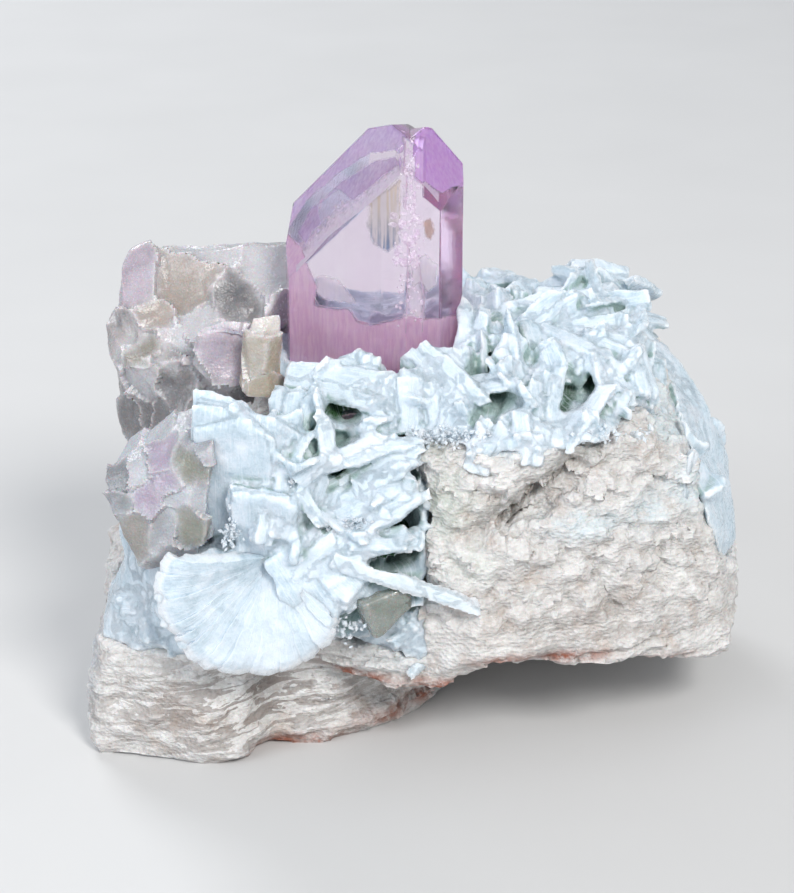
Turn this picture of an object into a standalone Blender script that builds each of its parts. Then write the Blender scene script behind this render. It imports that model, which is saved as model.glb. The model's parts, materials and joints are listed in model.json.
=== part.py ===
"""A kunzite crystal standing on a hand specimen of albite.

The specimen is built the way it grew. A block of white albite carries a crust of bladed albite, and the
kunzite, a lump of smoky quartz, a small feldspar crystal and a broken piece of spodumene are set in them.
Sizes are in millimetres and are turned into metres by MM. X runs left to right, Y from front to back and
Z up. The origin is under the middle of the specimen, on the surface that it stands on.
"""

import math
import random

import bmesh
import bpy
from mathutils import Matrix, Vector, noise

MM = 0.001

# The size of the block that a crystal is cut from, and of the ground that is cut away under the rock.
BLANK_SIZE = 200.0
GROUND_SIZE = (300, 300, 41.0)
GROUND_MIDDLE = (0, 0, -20.0)

# The clearance between two minerals that have grown against each other, and round a crystal set in albite.
GAP = 0.3
ROOM_GAP = 0.45
# Corners that a cut leaves closer together than this are one corner.
SAME_CORNER = 0.01
# Puts the middle of the finished specimen over the origin.
CENTRE_SHIFT = Vector((0.8, -0.6, -0.5))

# The albite's skin: how fine it is drawn, how many facets it keeps, and the height and width of its lumps.
ROCK_VOXEL = 1.5
ROCK_TRIANGLES = 2150
BROAD_LUMP_HEIGHT = 1.05
BROAD_LUMP_SIZE = 9.0
SMALL_LUMP_HEIGHT = 0.675
SMALL_LUMP_SIZE = 3.6

# The ledges round the layered foot: their height, how far they stand out, and where they fade away above.
LEDGE_STEP = 3.4
LEDGE_DEPTH = 1.3
LEDGE_TOP = 24.0
LEDGE_FADE = 6.0
LEDGE_DIP = 0.10
LEDGE_WAVE = 1.6
LEDGE_WAVE_SIZE = 22.0

KUNZITE_ROOT_Z = 56.0
KUNZITE_TOP_Z = 114.0

BLADE_SEED = 8

# The kunzite's outline seen from above, going round from its left edge by the front.
KUNZITE_PLAN = [
    (-23.5, 2.5),
    (-22.8, -3.0),
    (-2.0, -9.0),
    (4.2, -7.5),
    (8.4, -1.5),
    (8.0, 4.0),
    (-4.0, 9.5),
    (-22.0, 7.5),
]

# The kunzite is two individuals side by side. Each face of an end is a point and an outward direction.
LEFT_END_FACES = [
    ((-2.0, -9.0, 105.4), (-1.36, -1.1, 1.0)),
    ((-16.0, 6.5, 101.0), (-0.93, 0.6, 1.0)),
    ((-6.0, 2.0, 110.6), (-0.14, 0.3, 1.0)),
    ((-3.2, 0.0, 110.7), (0.5, 0.05, 1.0)),
]
RIGHT_END_FACES = [
    ((-2.0, -9.0, 103.5), (1.287, -1.52, 1.0)),
    ((5.8, 1.0, 106.8), (1.15, 0.45, 1.0)),
    ((1.0, 2.0, 110.2), (0.05, 0.35, 1.0)),
    ((-0.7, 0.0, 109.9), (-0.6, 0.05, 1.0)),
]
LEFT_INDIVIDUAL_RIGHT_X = 1.2
RIGHT_INDIVIDUAL_LEFT_X = -3.2

# The masses that the albite block is made of. Each is the hull of its corners.
FOOT_LEFT = [
    (-59.5, -24.5, 0), (-57.5, -27, 0), (-45.5, -29, 0), (-38, -32, 0), (-32, -30, 0), (-28, -23, 0),
    (-28, 30, 0), (-54, 28, 0), (-59.5, 8, 0),
    (-59.8, -22, 8), (-57, -26, 20), (-54, -24, 34), (-42, -29, 26), (-28, -26, 22),
    (-28, 28, 32), (-52, 26, 34), (-57.5, 6, 30),
]
FOOT_RIGHT = [
    (-31, -24, 0), (-19.5, -22.8, 0), (-13, -21.5, 0), (-6.5, -15, 0), (2, -10, 0), (6, -1, 0),
    (8.5, 7.5, 0), (8, 25, 0), (-12, 33, 0), (-31, 34, 0),
    (-31, -22, 22), (-12, -22, 20), (2, -12, 14), (7, -6, 22), (9, 20, 26), (-12, 30, 30), (-31, 30, 30),
]
FOOT_BACK = [
    (20, 31, 0), (48, 29, 0), (55, 31, 0), (50, 38, 0), (14, 39, 0),
    (6, 6, 24), (56, 4, 22), (58, 22, 22), (52, 39, 24), (8, 39, 24),
]
BODY_LEFT = [
    (-53, -24, 24), (-49, -28, 24), (-14, -28, 26), (-2, -23, 26), (-52.5, -22, 48), (-48, -28, 42),
    (-30, -28, 60), (-22, -25, 58), (-2, -18, 60), (-51, 24, 22), (4, 30, 20), (-52, 20, 44), (4, 30, 64),
    (-26, 18, 64), (-50, 2, 50),
]
BODY_FAN = [
    (-47, -28, 36), (-45, -32, 31), (-38, -35, 25), (-30, -36, 22), (-21, -35.5, 23.5), (-14, -33, 29),
    (-13, -31, 36), (-20, -31, 42), (-38, -31, 44), (-46, -18, 30), (-14, -18, 28), (-30, -20, 20),
]
BODY_MIDDLE = [
    (-21, -26, 21), (-13, -28, 18.5), (-6, -30, 16), (2, -31, 15.5), (7, -31, 19.5), (20, -31, 24),
    (20, -8, 20), (-21, -8, 18), (-20, -26, 28), (-12, -28, 27), (-3, -28, 28), (8, -31, 44),
    (20, -31, 44), (20, -8, 40), (-21, -8, 28),
]
BLOCK_FRONT = [
    (-0.5, -31, 22), (8, -33.5, 21.5), (14, -33, 23), (22, -31, 25.5), (31, -28.5, 22.5),
    (42, -25.5, 19), (42, 24, 8), (4, 24, 10),
    (-0.5, -27, 62), (6, -29.5, 60), (18, -30, 63.5), (30, -27, 63), (42, -22, 60),
    (0, 12, 69), (40, 12, 71), (36, 26, 67), (8, 28, 68),
]
BLOCK_RIGHT = [
    (36, -26.5, 19.5), (42, -25, 18.5), (50.5, -20, 16), (58.6, -16, 14.5), (58.6, 8, 12), (56, 24, 12),
    (36, 26, 12), (58.8, -8, 26), (59.2, -2, 38), (57.8, 0, 47.5), (54.8, 0, 55.5), (51.0, 5, 62.8),
    (44.0, 10, 69.5), (36, -22, 62), (48, -19, 55), (55, -12, 44), (53, 26, 50), (36, 30, 62),
]
TERRACE_BACK = [
    (-34, 8, 52), (-32, 30, 50), (30, 34, 48), (-33, 10, 72), (-22, 22, 76), (-12, 27, 74), (4, 28, 74),
    (24, 28, 71.5), (30, 6, 71), (10, -8, 68), (-26, -8, 66),
]
TERRACE_RIGHT_BACK = [
    (12, 8, 60), (12, 30, 58), (46, 30, 48), (50, 6, 54), (21, 20, 71), (26, 23, 75.0), (36, 20, 74.6),
    (42.5, 14, 71.0), (40, 2, 69), (14, 2, 68), (47, 20, 65.5),
]
BACK_SLOPE = [
    (-53, 28, 14), (-30, 34, 8), (10, 39, 16), (54, 39, 18), (58, 26, 30), (-52, 27, 42), (-30, 33, 56),
    (10, 35, 62), (44, 33, 56), (52, 28, 50), (-40, 10, 30), (40, 10, 30),
]
ROCK_MASSES = {
    "foot_left": FOOT_LEFT,
    "foot_right": FOOT_RIGHT,
    "foot_back": FOOT_BACK,
    "body_left": BODY_LEFT,
    "body_fan": BODY_FAN,
    "body_middle": BODY_MIDDLE,
    "block_front": BLOCK_FRONT,
    "block_right": BLOCK_RIGHT,
    "terrace_back": TERRACE_BACK,
    "terrace_right_back": TERRACE_RIGHT_BACK,
    "back_slope": BACK_SLOPE,
}

# Hollows between the blades and the block, as centre, size and turn about Y in degrees.
HOLLOWS = [
    ((-3.2, -27.0, 40.5), (7.0, 16.0, 4.4), 4.0),
    ((-1.6, -27.0, 31.0), (3.4, 14.0, 4.2), 14.0),
    ((-15.0, -22.0, 63.0), (9.0, 10.0, 3.0), 28.0),
    ((-2.6, -24.0, 56.0), (4.0, 10.0, 2.6), -38.0),
    ((25.0, -30.0, 53.0), (26.0, 12.0, 4.6), -33.0),
    ((34.0, -30.0, 34.0), (4.0, 10.0, 16.0), -28.0),
]

# The volume in which the albite is bladed, as boxes: centre, size and turn about X and Y in degrees.
CRUST_BOXES = [
    ((10.0, 0.0, 105.0), (200.0, 200.0, 80.0), (7.0, 0.0)),
    ((-50.0, -69.0, 73.0), (102.0, 100.0, 106.0), (4.0, 0.0)),
    ((86.5, 0.0, 94.8), (100.0, 200.0, 96.4), (0.0, -20.9)),
]
# How the crust's edge wanders: its grid, how far it goes in and out, and over what length.
CRUST_EDGE_CUTS = 11
CRUST_EDGE_WAVE = 3.2
CRUST_EDGE_WAVE_SIZE = 17.0

QUARTZ_MASSES = [
    [
        (-54.2, 10, 82.0), (-52.5, 12, 84.0), (-49, 14, 85.0), (-45, 13, 83.8), (-43, 5, 77),
        (-50, 1.5, 74), (-54.6, 5, 77), (-50, 26, 80), (-53, 22, 78), (-55.4, 12, 67),
        (-42, 6, 66), (-44, 24, 66), (-54.4, 3, 69),
    ],
    [
        (-48, 13, 84.2), (-38, 14, 84.2), (-30, 14, 83.2), (-17, 16, 84.2), (-18, 26, 79), (-46, 28, 79),
        (-52, -1, 70), (-40, -3, 68.5), (-30, -2, 71), (-25.5, 4, 78), (-17, 13, 72), (-20, 24, 62),
        (-48, 24, 60),
    ],
    [
        (-57.0, 6, 72.5), (-56.0, 2, 69), (-54.6, 0, 62), (-54.6, 3, 55), (-53.4, 5, 49.5), (-51.5, 6, 47),
        (-53, -3.5, 69), (-42, -5, 67), (-33, -6, 69), (-27, -5, 64), (-40, -7, 56), (-34, -8, 58),
        (-50, 0, 48), (-27, 18, 52), (-27, 20, 70), (-54, 22, 52), (-54, 20, 72), (-30, -6, 56),
    ],
    [
        (-38.5, -8, 75), (-34, -9, 77), (-30, -8, 76), (-40, -7, 69), (-37, -9.5, 66), (-31, -9.5, 66),
        (-28, -6, 69), (-37, 4, 73), (-30, 4, 74), (-37, 4, 66), (-30, 4, 66),
    ],
]
FELDSPAR_CORNERS = [
    (-32.2, -11.5, 67), (-30.0, -15, 65.5), (-26.0, -15.5, 65.5), (-23.6, -12, 67), (-23.8, -8.5, 67),
    (-30.8, -9.5, 67), (-31.2, -11, 73.0), (-29.8, -13.8, 76.5), (-26.8, -14.2, 78.0), (-24.0, -11.5, 77.6),
    (-24.3, -9, 79.2), (-29.0, -9.6, 78.8),
]
SPODUMENE_CORNERS = [
    (-54.8, -27, 54.8), (-53.8, -22, 56), (-50.8, -19, 59.6), (-34.5, -24, 69.8), (-33.5, -30, 69.6),
    (-35, -34.5, 64), (-36.5, -35.5, 48), (-38, -34, 42), (-47.5, -32, 40.5), (-51.4, -30, 45),
    (-53.4, -30, 51), (-50, -16, 44), (-34, -16, 44), (-34, -17, 62),
]

# A blade's shape, as shares of its width and length: half its root, where its edges end, and its taper.
ROOT_HALF_WIDTH = 0.38
LONG_EDGE = 0.82
SHORT_EDGE = 0.80
TAPER = 0.35

# How much the blades of one spray differ, as shares of the spray's values, and how deep they are rooted.
LEAN_RANGE = (0.35, 1.0)
ROOT_SPREAD = 0.3
REACH_RANGE = (0.75, 1.15)
WIDTH_RANGE = (0.75, 1.2)
THICKNESS_RANGE = (0.8, 1.2)
TURN_RANGE = 0.3
ROLL_RANGE = 0.2
SWAY_RANGE = 0.5
ROOT_DEPTH = 2.0

# Sprays of blades: root, mean direction, half angle of the fan, count, length, width, thickness.
SPRAYS = [
    ((-24.0, -27.0, 58.0), (0.5, -0.5, 0.7), 30, 6, 12, 7, 1.6),
    ((-36.0, -28.0, 36.0), (-0.2, -0.8, 0.4), 40, 6, 10, 8, 2.4),
    ((-14.0, -24.0, 52.0), (0.2, -0.7, 0.6), 50, 7, 14, 6, 1.9),
    ((-12.0, -17.0, 62.0), (0.2, -0.5, 0.8), 52, 8, 13, 6, 1.7),
    ((-17.0, -26.0, 40.0), (0.5, -0.8, 0.3), 44, 6, 12, 8, 2.4),
    ((0.0, -14.0, 64.0), (0.0, -0.4, 0.9), 48, 7, 11, 5.5, 1.8),
    ((12.0, -12.0, 66.0), (0.1, -0.3, 0.9), 52, 7, 12, 6, 2.0),
    ((12.5, 6.0, 68.0), (0.0, -0.2, 1.0), 34, 6, 14, 6, 2.2),
    ((22.0, -14.0, 64.0), (0.2, -0.5, 0.8), 50, 8, 14, 7, 2.4),
    ((30.0, -4.0, 66.0), (0.0, -0.35, 0.9), 50, 8, 14, 8, 2.6),
    ((24.0, 12.0, 70.0), (0.0, 0.0, 1.0), 46, 6, 11, 8, 2.8),
    ((37.0, 3.0, 64.0), (0.2, -0.3, 0.9), 40, 6, 10, 8, 2.6),
    ((43.0, -12.0, 56.0), (0.5, -0.6, 0.7), 44, 6, 10, 7, 2.6),
    ((49.0, -13.0, 50.0), (0.2, -0.9, 0.5), 40, 4, 8, 6, 2.2),
    ((-2.0, 14.0, 70.0), (0.0, 0.3, 1.0), 46, 6, 9, 6, 2.0),
    ((-16.0, 17.0, 72.0), (-0.1, 0.3, 1.0), 44, 5, 9, 6, 2.0),
    ((6.0, 23.0, 70.0), (0.0, 0.6, 0.8), 44, 4, 9, 8, 2.8),
    ((33.0, 22.0, 70.0), (0.2, 0.6, 0.8), 40, 4, 10, 8, 2.8),
    ((54.0, 12.0, 48.0), (0.6, 0.6, 0.5), 34, 3, 8, 9, 3.2),
]

# The shell-shaped fan at the lower left: where it spreads from, its reach and its first and last direction.
FAN_ROOT = (-25.0, -29.0, 42.0)
FAN_REACHES = [21.5, 22.5, 22.0, 23.0, 21.5, 20.5, 19.0, 18.5, 16.5, 15.5]
FAN_ANGLES = (194.0, 318.0)
FAN_BLADE_WIDTH = 8.0
FAN_BLADE_THICKNESS = 3.4
FAN_BULGE = -9.0
FAN_OVERLAP = 0.5

# Blades that the eye picks out: root, tip, width, thickness and the direction that the broad face looks in.
LONE_BLADES = [
    ((-31.5, -27.0, 44.0), (-31.0, -32.5, 71.5), 15.0, 5.5, (-0.25, -1.0, 0.2)),
    ((-24.5, -27.5, 44.0), (-24.0, -31.0, 68.5), 10.0, 4.5, (0.25, -1.0, 0.25)),
    ((-26.0, -29.5, 40.0), (-26.5, -36.0, 57.0), 12.0, 3.6, (-0.1, -1.0, 0.35)),
    ((-20.0, -26.0, 45.0), (-15.0, -30.0, 63.0), 8.0, 1.8, (0.9, -0.5, -0.1)),
    ((-21.0, -27.0, 43.0), (-17.5, -32.0, 59.0), 8.0, 1.8, (0.8, -0.6, -0.1)),
    ((-38.0, -29.0, 30.0), (-39.5, -33.5, 46.0), 12.0, 4.0, (-0.3, -1.0, 0.1)),
    ((-22.5, -19.0, 66.0), (0.0, -23.0, 62.5), 7.5, 2.2, (0.1, -0.5, 0.85)),
    ((-20.0, -20.0, 66.5), (-15.5, -27.5, 56.0), 6.0, 1.8, (-0.8, -0.5, 0.1)),
    ((-17.0, -30.0, 50.0), (0.5, -29.0, 61.0), 5.5, 2.0, (-0.4, -0.8, 0.4)),
    ((-15.0, -31.0, 45.0), (1.5, -30.0, 56.0), 6.5, 2.4, (-0.4, -0.7, 0.5)),
    ((-12.0, -31.0, 42.0), (3.0, -31.0, 46.0), 5.5, 2.2, (-0.1, -0.5, 0.85)),
    ((-16.0, -34.0, 39.0), (10.0, -32.5, 33.0), 5.0, 2.2, (0.2, -0.7, 0.65)),
    ((9.0, -21.0, 64.0), (2.5, -12.0, 74.5), 8.0, 1.8, (-0.5, -0.7, 0.5)),
    ((10.0, -22.0, 62.5), (-1.5, -13.5, 72.5), 6.0, 1.8, (-0.3, -0.8, 0.5)),
    ((20.0, -22.0, 58.0), (25.0, -12.0, 75.0), 7.0, 2.2, (-0.6, -0.7, 0.35)),
    ((23.5, -20.0, 60.0), (26.5, -9.0, 74.5), 9.0, 2.6, (0.5, -0.8, 0.35)),
    ((33.0, -20.0, 57.0), (40.0, -2.0, 76.0), 7.0, 2.6, (0.7, -0.6, 0.35)),
    ((34.0, -18.0, 60.0), (33.0, -2.0, 75.5), 7.0, 2.6, (-0.6, -0.7, 0.4)),
]


def metres(point):
    """A point given in millimetres, moved to the specimen's centre, in metres."""
    return (Vector(point) + CENTRE_SHIFT) * MM


def clear_scene():
    """Empties the scene."""
    for thing in list(bpy.data.objects):
        bpy.data.objects.remove(thing, do_unlink=True)


def new_object(name, mesh_data):
    """A new object in the scene that shows mesh_data."""
    thing = bpy.data.objects.new(name, mesh_data)
    bpy.context.scene.collection.objects.link(thing)
    return thing


def object_from_bmesh(name, shape):
    """A new object from shape, with every face pointing out."""
    bmesh.ops.recalc_face_normals(shape, faces=shape.faces[:])
    mesh_data = bpy.data.meshes.new(name)
    shape.to_mesh(mesh_data)
    shape.free()
    return new_object(name, mesh_data)


def evaluated_mesh(thing):
    """The object's mesh with its modifiers applied, as new mesh data."""
    bpy.context.view_layer.update()
    graph = bpy.context.evaluated_depsgraph_get()
    return bpy.data.meshes.new_from_object(thing.evaluated_get(graph))


def remove(things):
    """Removes objects from the scene."""
    for thing in things:
        bpy.data.objects.remove(thing, do_unlink=True)


def boolean(thing, other, operation):
    """Joins, cuts or crosses thing with other, and removes other."""
    modifier = thing.modifiers.new(operation, "BOOLEAN")
    modifier.operation = operation
    modifier.solver = "EXACT"
    modifier.object = other
    made = evaluated_mesh(thing)
    thing.modifiers.clear()
    thing.data = made
    remove([other])


def join_overlapping(thing):
    """Makes one closed skin out of shapes that overlap inside one mesh."""
    nothing = new_object("far_speck", bpy.data.meshes.new("far_speck"))
    speck = bmesh.new()
    bmesh.ops.create_cube(speck, size=MM)
    bmesh.ops.translate(speck, vec=(10.0, 0.0, 0.0), verts=speck.verts[:])
    speck.to_mesh(nothing.data)
    speck.free()
    modifier = thing.modifiers.new("UNION", "BOOLEAN")
    modifier.operation = "DIFFERENCE"
    modifier.solver = "EXACT"
    modifier.use_self = True
    modifier.object = nothing
    made = evaluated_mesh(thing)
    thing.modifiers.clear()
    thing.data = made
    remove([nothing])


def hull_mesh(shape, corners, grow=0.0):
    """Adds the hull of the corners to shape, each corner moved away from their middle by grow."""
    middle = sum((Vector(c) for c in corners), Vector()) / len(corners)
    verts = []
    for corner in corners:
        away = Vector(corner) - middle
        verts.append(shape.verts.new(metres(middle + away * (1.0 + grow / away.length))))
    made = bmesh.ops.convex_hull(shape, input=verts, use_existing_faces=False)
    spare = {v for v in made["geom_interior"] + made["geom_unused"] if isinstance(v, bmesh.types.BMVert)}
    bmesh.ops.delete(shape, geom=list(spare), context="VERTS")


def hull(name, corners, grow=0.0):
    """An object of its own that is the hull of the corners."""
    shape = bmesh.new()
    hull_mesh(shape, corners, grow)
    return object_from_bmesh(name, shape)


def cut_by_planes(name, planes, middle, grow=0.0):
    """The solid behind every plane, given as a point and an outward direction, and moved out by grow."""
    shape = bmesh.new()
    bmesh.ops.create_cube(shape, size=BLANK_SIZE * MM, matrix=Matrix.Translation(metres(middle)))
    for point, direction in planes:
        outward = Vector(direction).normalized()
        everything = shape.verts[:] + shape.edges[:] + shape.faces[:]
        cut = bmesh.ops.bisect_plane(
            shape,
            geom=everything,
            plane_co=metres(Vector(point) + outward * grow),
            plane_no=outward,
            clear_outer=True,
        )
        rim = [e for e in cut["geom_cut"] if isinstance(e, bmesh.types.BMEdge)]
        if rim:
            bmesh.ops.contextual_create(shape, geom=rim)
    return object_from_bmesh(name, shape)


def turned_box(name, centre, size, tilt_x=0.0, tilt_y=0.0):
    """A box turned about X and then about Y, in degrees."""
    shape = bmesh.new()
    extent = [s * MM for s in size]
    place = (
        Matrix.Translation(metres(centre))
        @ Matrix.Rotation(math.radians(tilt_x), 4, "X")
        @ Matrix.Rotation(math.radians(tilt_y), 4, "Y")
        @ Matrix.Diagonal((*extent, 1.0))
    )
    bmesh.ops.create_cube(shape, size=1.0, matrix=place)
    return object_from_bmesh(name, shape)


def prism_planes(plan):
    """The upright planes through the sides of an outline that runs anticlockwise seen from above."""
    planes = []
    for start, end in zip(plan, plan[1:] + plan[:1]):
        along = Vector(end) - Vector(start)
        planes.append(((start[0], start[1], 0.0), (along.y, -along.x, 0.0)))
    return planes


def kunzite_solid(name, grow=0.0):
    """Two individuals grown side by side, each with its own slanting end."""
    sides = prism_planes(KUNZITE_PLAN)
    root = [((0, 0, KUNZITE_ROOT_Z), (0, 0, -1))]
    middle = (-7.0, 0.0, 0.5 * (KUNZITE_ROOT_Z + KUNZITE_TOP_Z))
    left_side = [((LEFT_INDIVIDUAL_RIGHT_X, 0, 0), (1, 0, 0))]
    right_side = [((RIGHT_INDIVIDUAL_LEFT_X, 0, 0), (-1, 0, 0))]
    left = cut_by_planes(name, sides + root + LEFT_END_FACES + left_side, middle, grow)
    right = cut_by_planes("right_individual", sides + root + RIGHT_END_FACES + right_side, middle, grow)
    boolean(left, right, "UNION")
    return left


def quartz_solid(name):
    """The lump of smoky quartz: its masses joined."""
    lump = hull(name, QUARTZ_MASSES[0])
    for corners in QUARTZ_MASSES[1:]:
        boolean(lump, hull("quartz_mass", corners), "UNION")
    return lump


def ledge_offset(point):
    """How far a face of the layered foot stands out: a saw edge that runs round it, level by level."""
    x, y, z = point
    fade = max(0.0, min(1.0, (LEDGE_TOP - z) / LEDGE_FADE))
    wave = LEDGE_WAVE * noise.noise(Vector((x, y, z)) / LEDGE_WAVE_SIZE)
    level = (z + LEDGE_DIP * x + wave) / LEDGE_STEP
    return fade * LEDGE_DEPTH * ((level % 1.0) - 0.5)


def skin(thing):
    """Draws one even closed skin over everything in thing."""
    remesh = thing.modifiers.new("skin", "REMESH")
    remesh.mode = "VOXEL"
    remesh.voxel_size = ROCK_VOXEL * MM
    thing.data = evaluated_mesh(thing)
    thing.modifiers.clear()


def rock_block(name):
    """The whole albite mass: its hulls joined, roughened with lumps and ledges, and cut flat underneath."""
    shape = bmesh.new()
    for corners in ROCK_MASSES.values():
        hull_mesh(shape, corners)
    rock = object_from_bmesh(name, shape)
    skin(rock)
    for centre, size, turn in HOLLOWS:
        boolean(rock, turned_box("hollow", centre, size, tilt_y=turn), "DIFFERENCE")
    skin(rock)
    moved = []
    for vertex in rock.data.vertices:
        place = vertex.co / MM - CENTRE_SHIFT
        broad = BROAD_LUMP_HEIGHT * noise.noise(place / BROAD_LUMP_SIZE)
        small = SMALL_LUMP_HEIGHT * noise.noise(place / SMALL_LUMP_SIZE)
        push = broad + small + ledge_offset(place)
        moved.append(vertex.co + vertex.normal * push * MM)
    for vertex, place in zip(rock.data.vertices, moved):
        vertex.co = place
    thin = rock.modifiers.new("facets", "DECIMATE")
    thin.ratio = ROCK_TRIANGLES / (2.0 * len(rock.data.polygons))
    thin.use_collapse_triangulate = True
    rock.data = evaluated_mesh(rock)
    rock.modifiers.clear()
    largest_body(rock)
    boolean(rock, turned_box("ground", GROUND_MIDDLE, GROUND_SIZE), "DIFFERENCE")
    return rock


def wavy_box(name, centre, size, tilt_x, tilt_y, grow):
    """A large box whose sides wander in and out, as the edge of the crust does."""
    box = turned_box(name, centre, size, tilt_x, tilt_y)
    shape = bmesh.new()
    shape.from_mesh(box.data)
    bmesh.ops.subdivide_edges(shape, edges=shape.edges[:], cuts=CRUST_EDGE_CUTS, use_grid_fill=True)
    bmesh.ops.triangulate(shape, faces=shape.faces[:], quad_method="FIXED")
    shape.normal_update()
    places = []
    for vertex in shape.verts:
        place = vertex.co / MM - CENTRE_SHIFT
        wave = CRUST_EDGE_WAVE * noise.noise(place / CRUST_EDGE_WAVE_SIZE)
        places.append(vertex.co + vertex.normal * (wave + grow) * MM)
    for vertex, place in zip(shape.verts, places):
        vertex.co = place
    shape.to_mesh(box.data)
    shape.free()
    return box


def crust_space(name, grow):
    """The whole volume in which the albite is bladed, grown or shrunk by grow millimetres."""
    space = None
    for centre, size, (tilt_x, tilt_y) in CRUST_BOXES:
        box = wavy_box(name, centre, size, tilt_x, tilt_y, grow)
        if space is None:
            space = box
        else:
            boolean(space, box, "UNION")
    return space


def blade_mesh(shape, root, tip, width, thickness, facing):
    """Adds one blade of albite to shape: a flat plate with a slanting, chisel-shaped end."""
    root, tip = Vector(root), Vector(tip)
    along = (tip - root).normalized()
    across = along.cross(Vector(facing)).normalized()
    out = across.cross(along).normalized()
    length = (tip - root).length
    outline = [
        (0.0, -ROOT_HALF_WIDTH * width),
        (0.0, ROOT_HALF_WIDTH * width),
        (LONG_EDGE * length, 0.5 * width),
        (length, 0.0),
        (SHORT_EDGE * length, -0.5 * width),
    ]
    half = 0.5 * thickness
    faces = []
    for side in (-1.0, 1.0):
        ring = []
        for run, over in outline:
            thin = 1.0 - TAPER * run / length
            corner = root + along * run + across * over + out * side * half * thin
            ring.append(shape.verts.new(metres(corner)))
        faces.append(ring)
    below, above = faces
    count = len(outline)
    shape.faces.new(below[::-1])
    shape.faces.new(above)
    for i in range(count):
        j = (i + 1) % count
        shape.faces.new((below[i], below[j], above[j], above[i]))


def spray_mesh(shape, chance, spray):
    """Adds a fan of blades that start close together and lean apart."""
    root, direction, half_angle, count, length, width, thickness = spray
    axis = Vector(direction).normalized()
    side = axis.cross(Vector((0.3, 0.2, 1.0))).normalized()
    other = axis.cross(side).normalized()
    for i in range(count):
        turn = 2.0 * math.pi * (i + chance.uniform(-TURN_RANGE, TURN_RANGE)) / count
        lean = math.radians(half_angle) * chance.uniform(*LEAN_RANGE)
        radial = side * math.cos(turn) + other * math.sin(turn)
        grow_way = axis * math.cos(lean) + radial * math.sin(lean)
        start = Vector(root) + radial * chance.uniform(0.0, ROOT_SPREAD) * length - axis * ROOT_DEPTH
        reach = length * chance.uniform(*REACH_RANGE)
        roll = chance.uniform(-ROLL_RANGE, ROLL_RANGE)
        sway = chance.uniform(-SWAY_RANGE, SWAY_RANGE)
        facing = radial + axis * roll + side * sway
        blade_mesh(
            shape,
            start,
            start + grow_way * reach,
            width * chance.uniform(*WIDTH_RANGE),
            thickness * chance.uniform(*THICKNESS_RANGE),
            facing,
        )


def fan_mesh(shape):
    """Adds the fan: flat blades that spread from one root over a bulging face, each over the next."""
    root = Vector(FAN_ROOT)
    count = len(FAN_REACHES)
    first, last = FAN_ANGLES
    for i, reach in enumerate(FAN_REACHES):
        angle = math.radians(first + (last - first) * i / (count - 1))
        front = FAN_BULGE + FAN_OVERLAP * (i % 2)
        tip = root + Vector((math.cos(angle) * reach, front, math.sin(angle) * reach))
        facing = (0.1 * math.cos(angle), -1.0, -0.3)
        blade_mesh(shape, root, tip, FAN_BLADE_WIDTH, FAN_BLADE_THICKNESS, facing)


def all_blades(name):
    """The fan, the sprays and the single blades, joined into one closed skin."""
    chance = random.Random(BLADE_SEED)
    shape = bmesh.new()
    fan_mesh(shape)
    for spray in SPRAYS:
        spray_mesh(shape, chance, spray)
    for root, tip, width, thickness, facing in LONE_BLADES:
        blade_mesh(shape, root, tip, width, thickness, facing)
    blades = object_from_bmesh(name, shape)
    join_overlapping(blades)
    return blades


def largest_body(thing):
    """Keeps the largest of the bodies that a cut has left, and drops crumbs."""
    shape = bmesh.new()
    shape.from_mesh(thing.data)
    left = set(shape.verts)
    bodies = []
    while left:
        body, queue = set(), [left.pop()]
        while queue:
            vert = queue.pop()
            body.add(vert)
            for edge in vert.link_edges:
                other = edge.other_vert(vert)
                if other in left:
                    left.remove(other)
                    queue.append(other)
        bodies.append(body)
    bodies.sort(key=len, reverse=True)
    crumbs = [vert for body in bodies[1:] for vert in body]
    bmesh.ops.delete(shape, geom=crumbs, context="VERTS")
    shape.to_mesh(thing.data)
    shape.free()


def material(name, colour, roughness, transmission=0.0):
    """A plain surface: none of these minerals is a metal."""
    made = bpy.data.materials.new(name)
    made.use_nodes = True
    surface = made.node_tree.nodes["Principled BSDF"]
    surface.inputs["Base Color"].default_value = (*colour, 1.0)
    surface.inputs["Roughness"].default_value = roughness
    surface.inputs["Metallic"].default_value = 0.0
    surface.inputs["Transmission Weight"].default_value = transmission
    return made


def dress(thing, made):
    """Gives an object its one material."""
    thing.data.materials.clear()
    thing.data.materials.append(made)


def close_seams(thing):
    """Joins corners that a cut has left almost touching, and closes the slits between them."""
    shape = bmesh.new()
    shape.from_mesh(thing.data)
    bmesh.ops.remove_doubles(shape, verts=shape.verts[:], dist=SAME_CORNER * MM)
    bmesh.ops.dissolve_degenerate(shape, edges=shape.edges[:], dist=SAME_CORNER * MM)
    slits = [edge for edge in shape.edges if edge.is_boundary]
    bmesh.ops.holes_fill(shape, edges=slits, sides=0)
    shape.to_mesh(thing.data)
    shape.free()


def cut_rooms(thing):
    """Cuts out of thing the room that each of the set crystals takes, with its clearance."""
    boolean(thing, kunzite_solid("room", GAP), "DIFFERENCE")
    for corners in [*QUARTZ_MASSES, FELDSPAR_CORNERS, SPODUMENE_CORNERS]:
        boolean(thing, hull("room", corners, ROOM_GAP), "DIFFERENCE")


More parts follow.
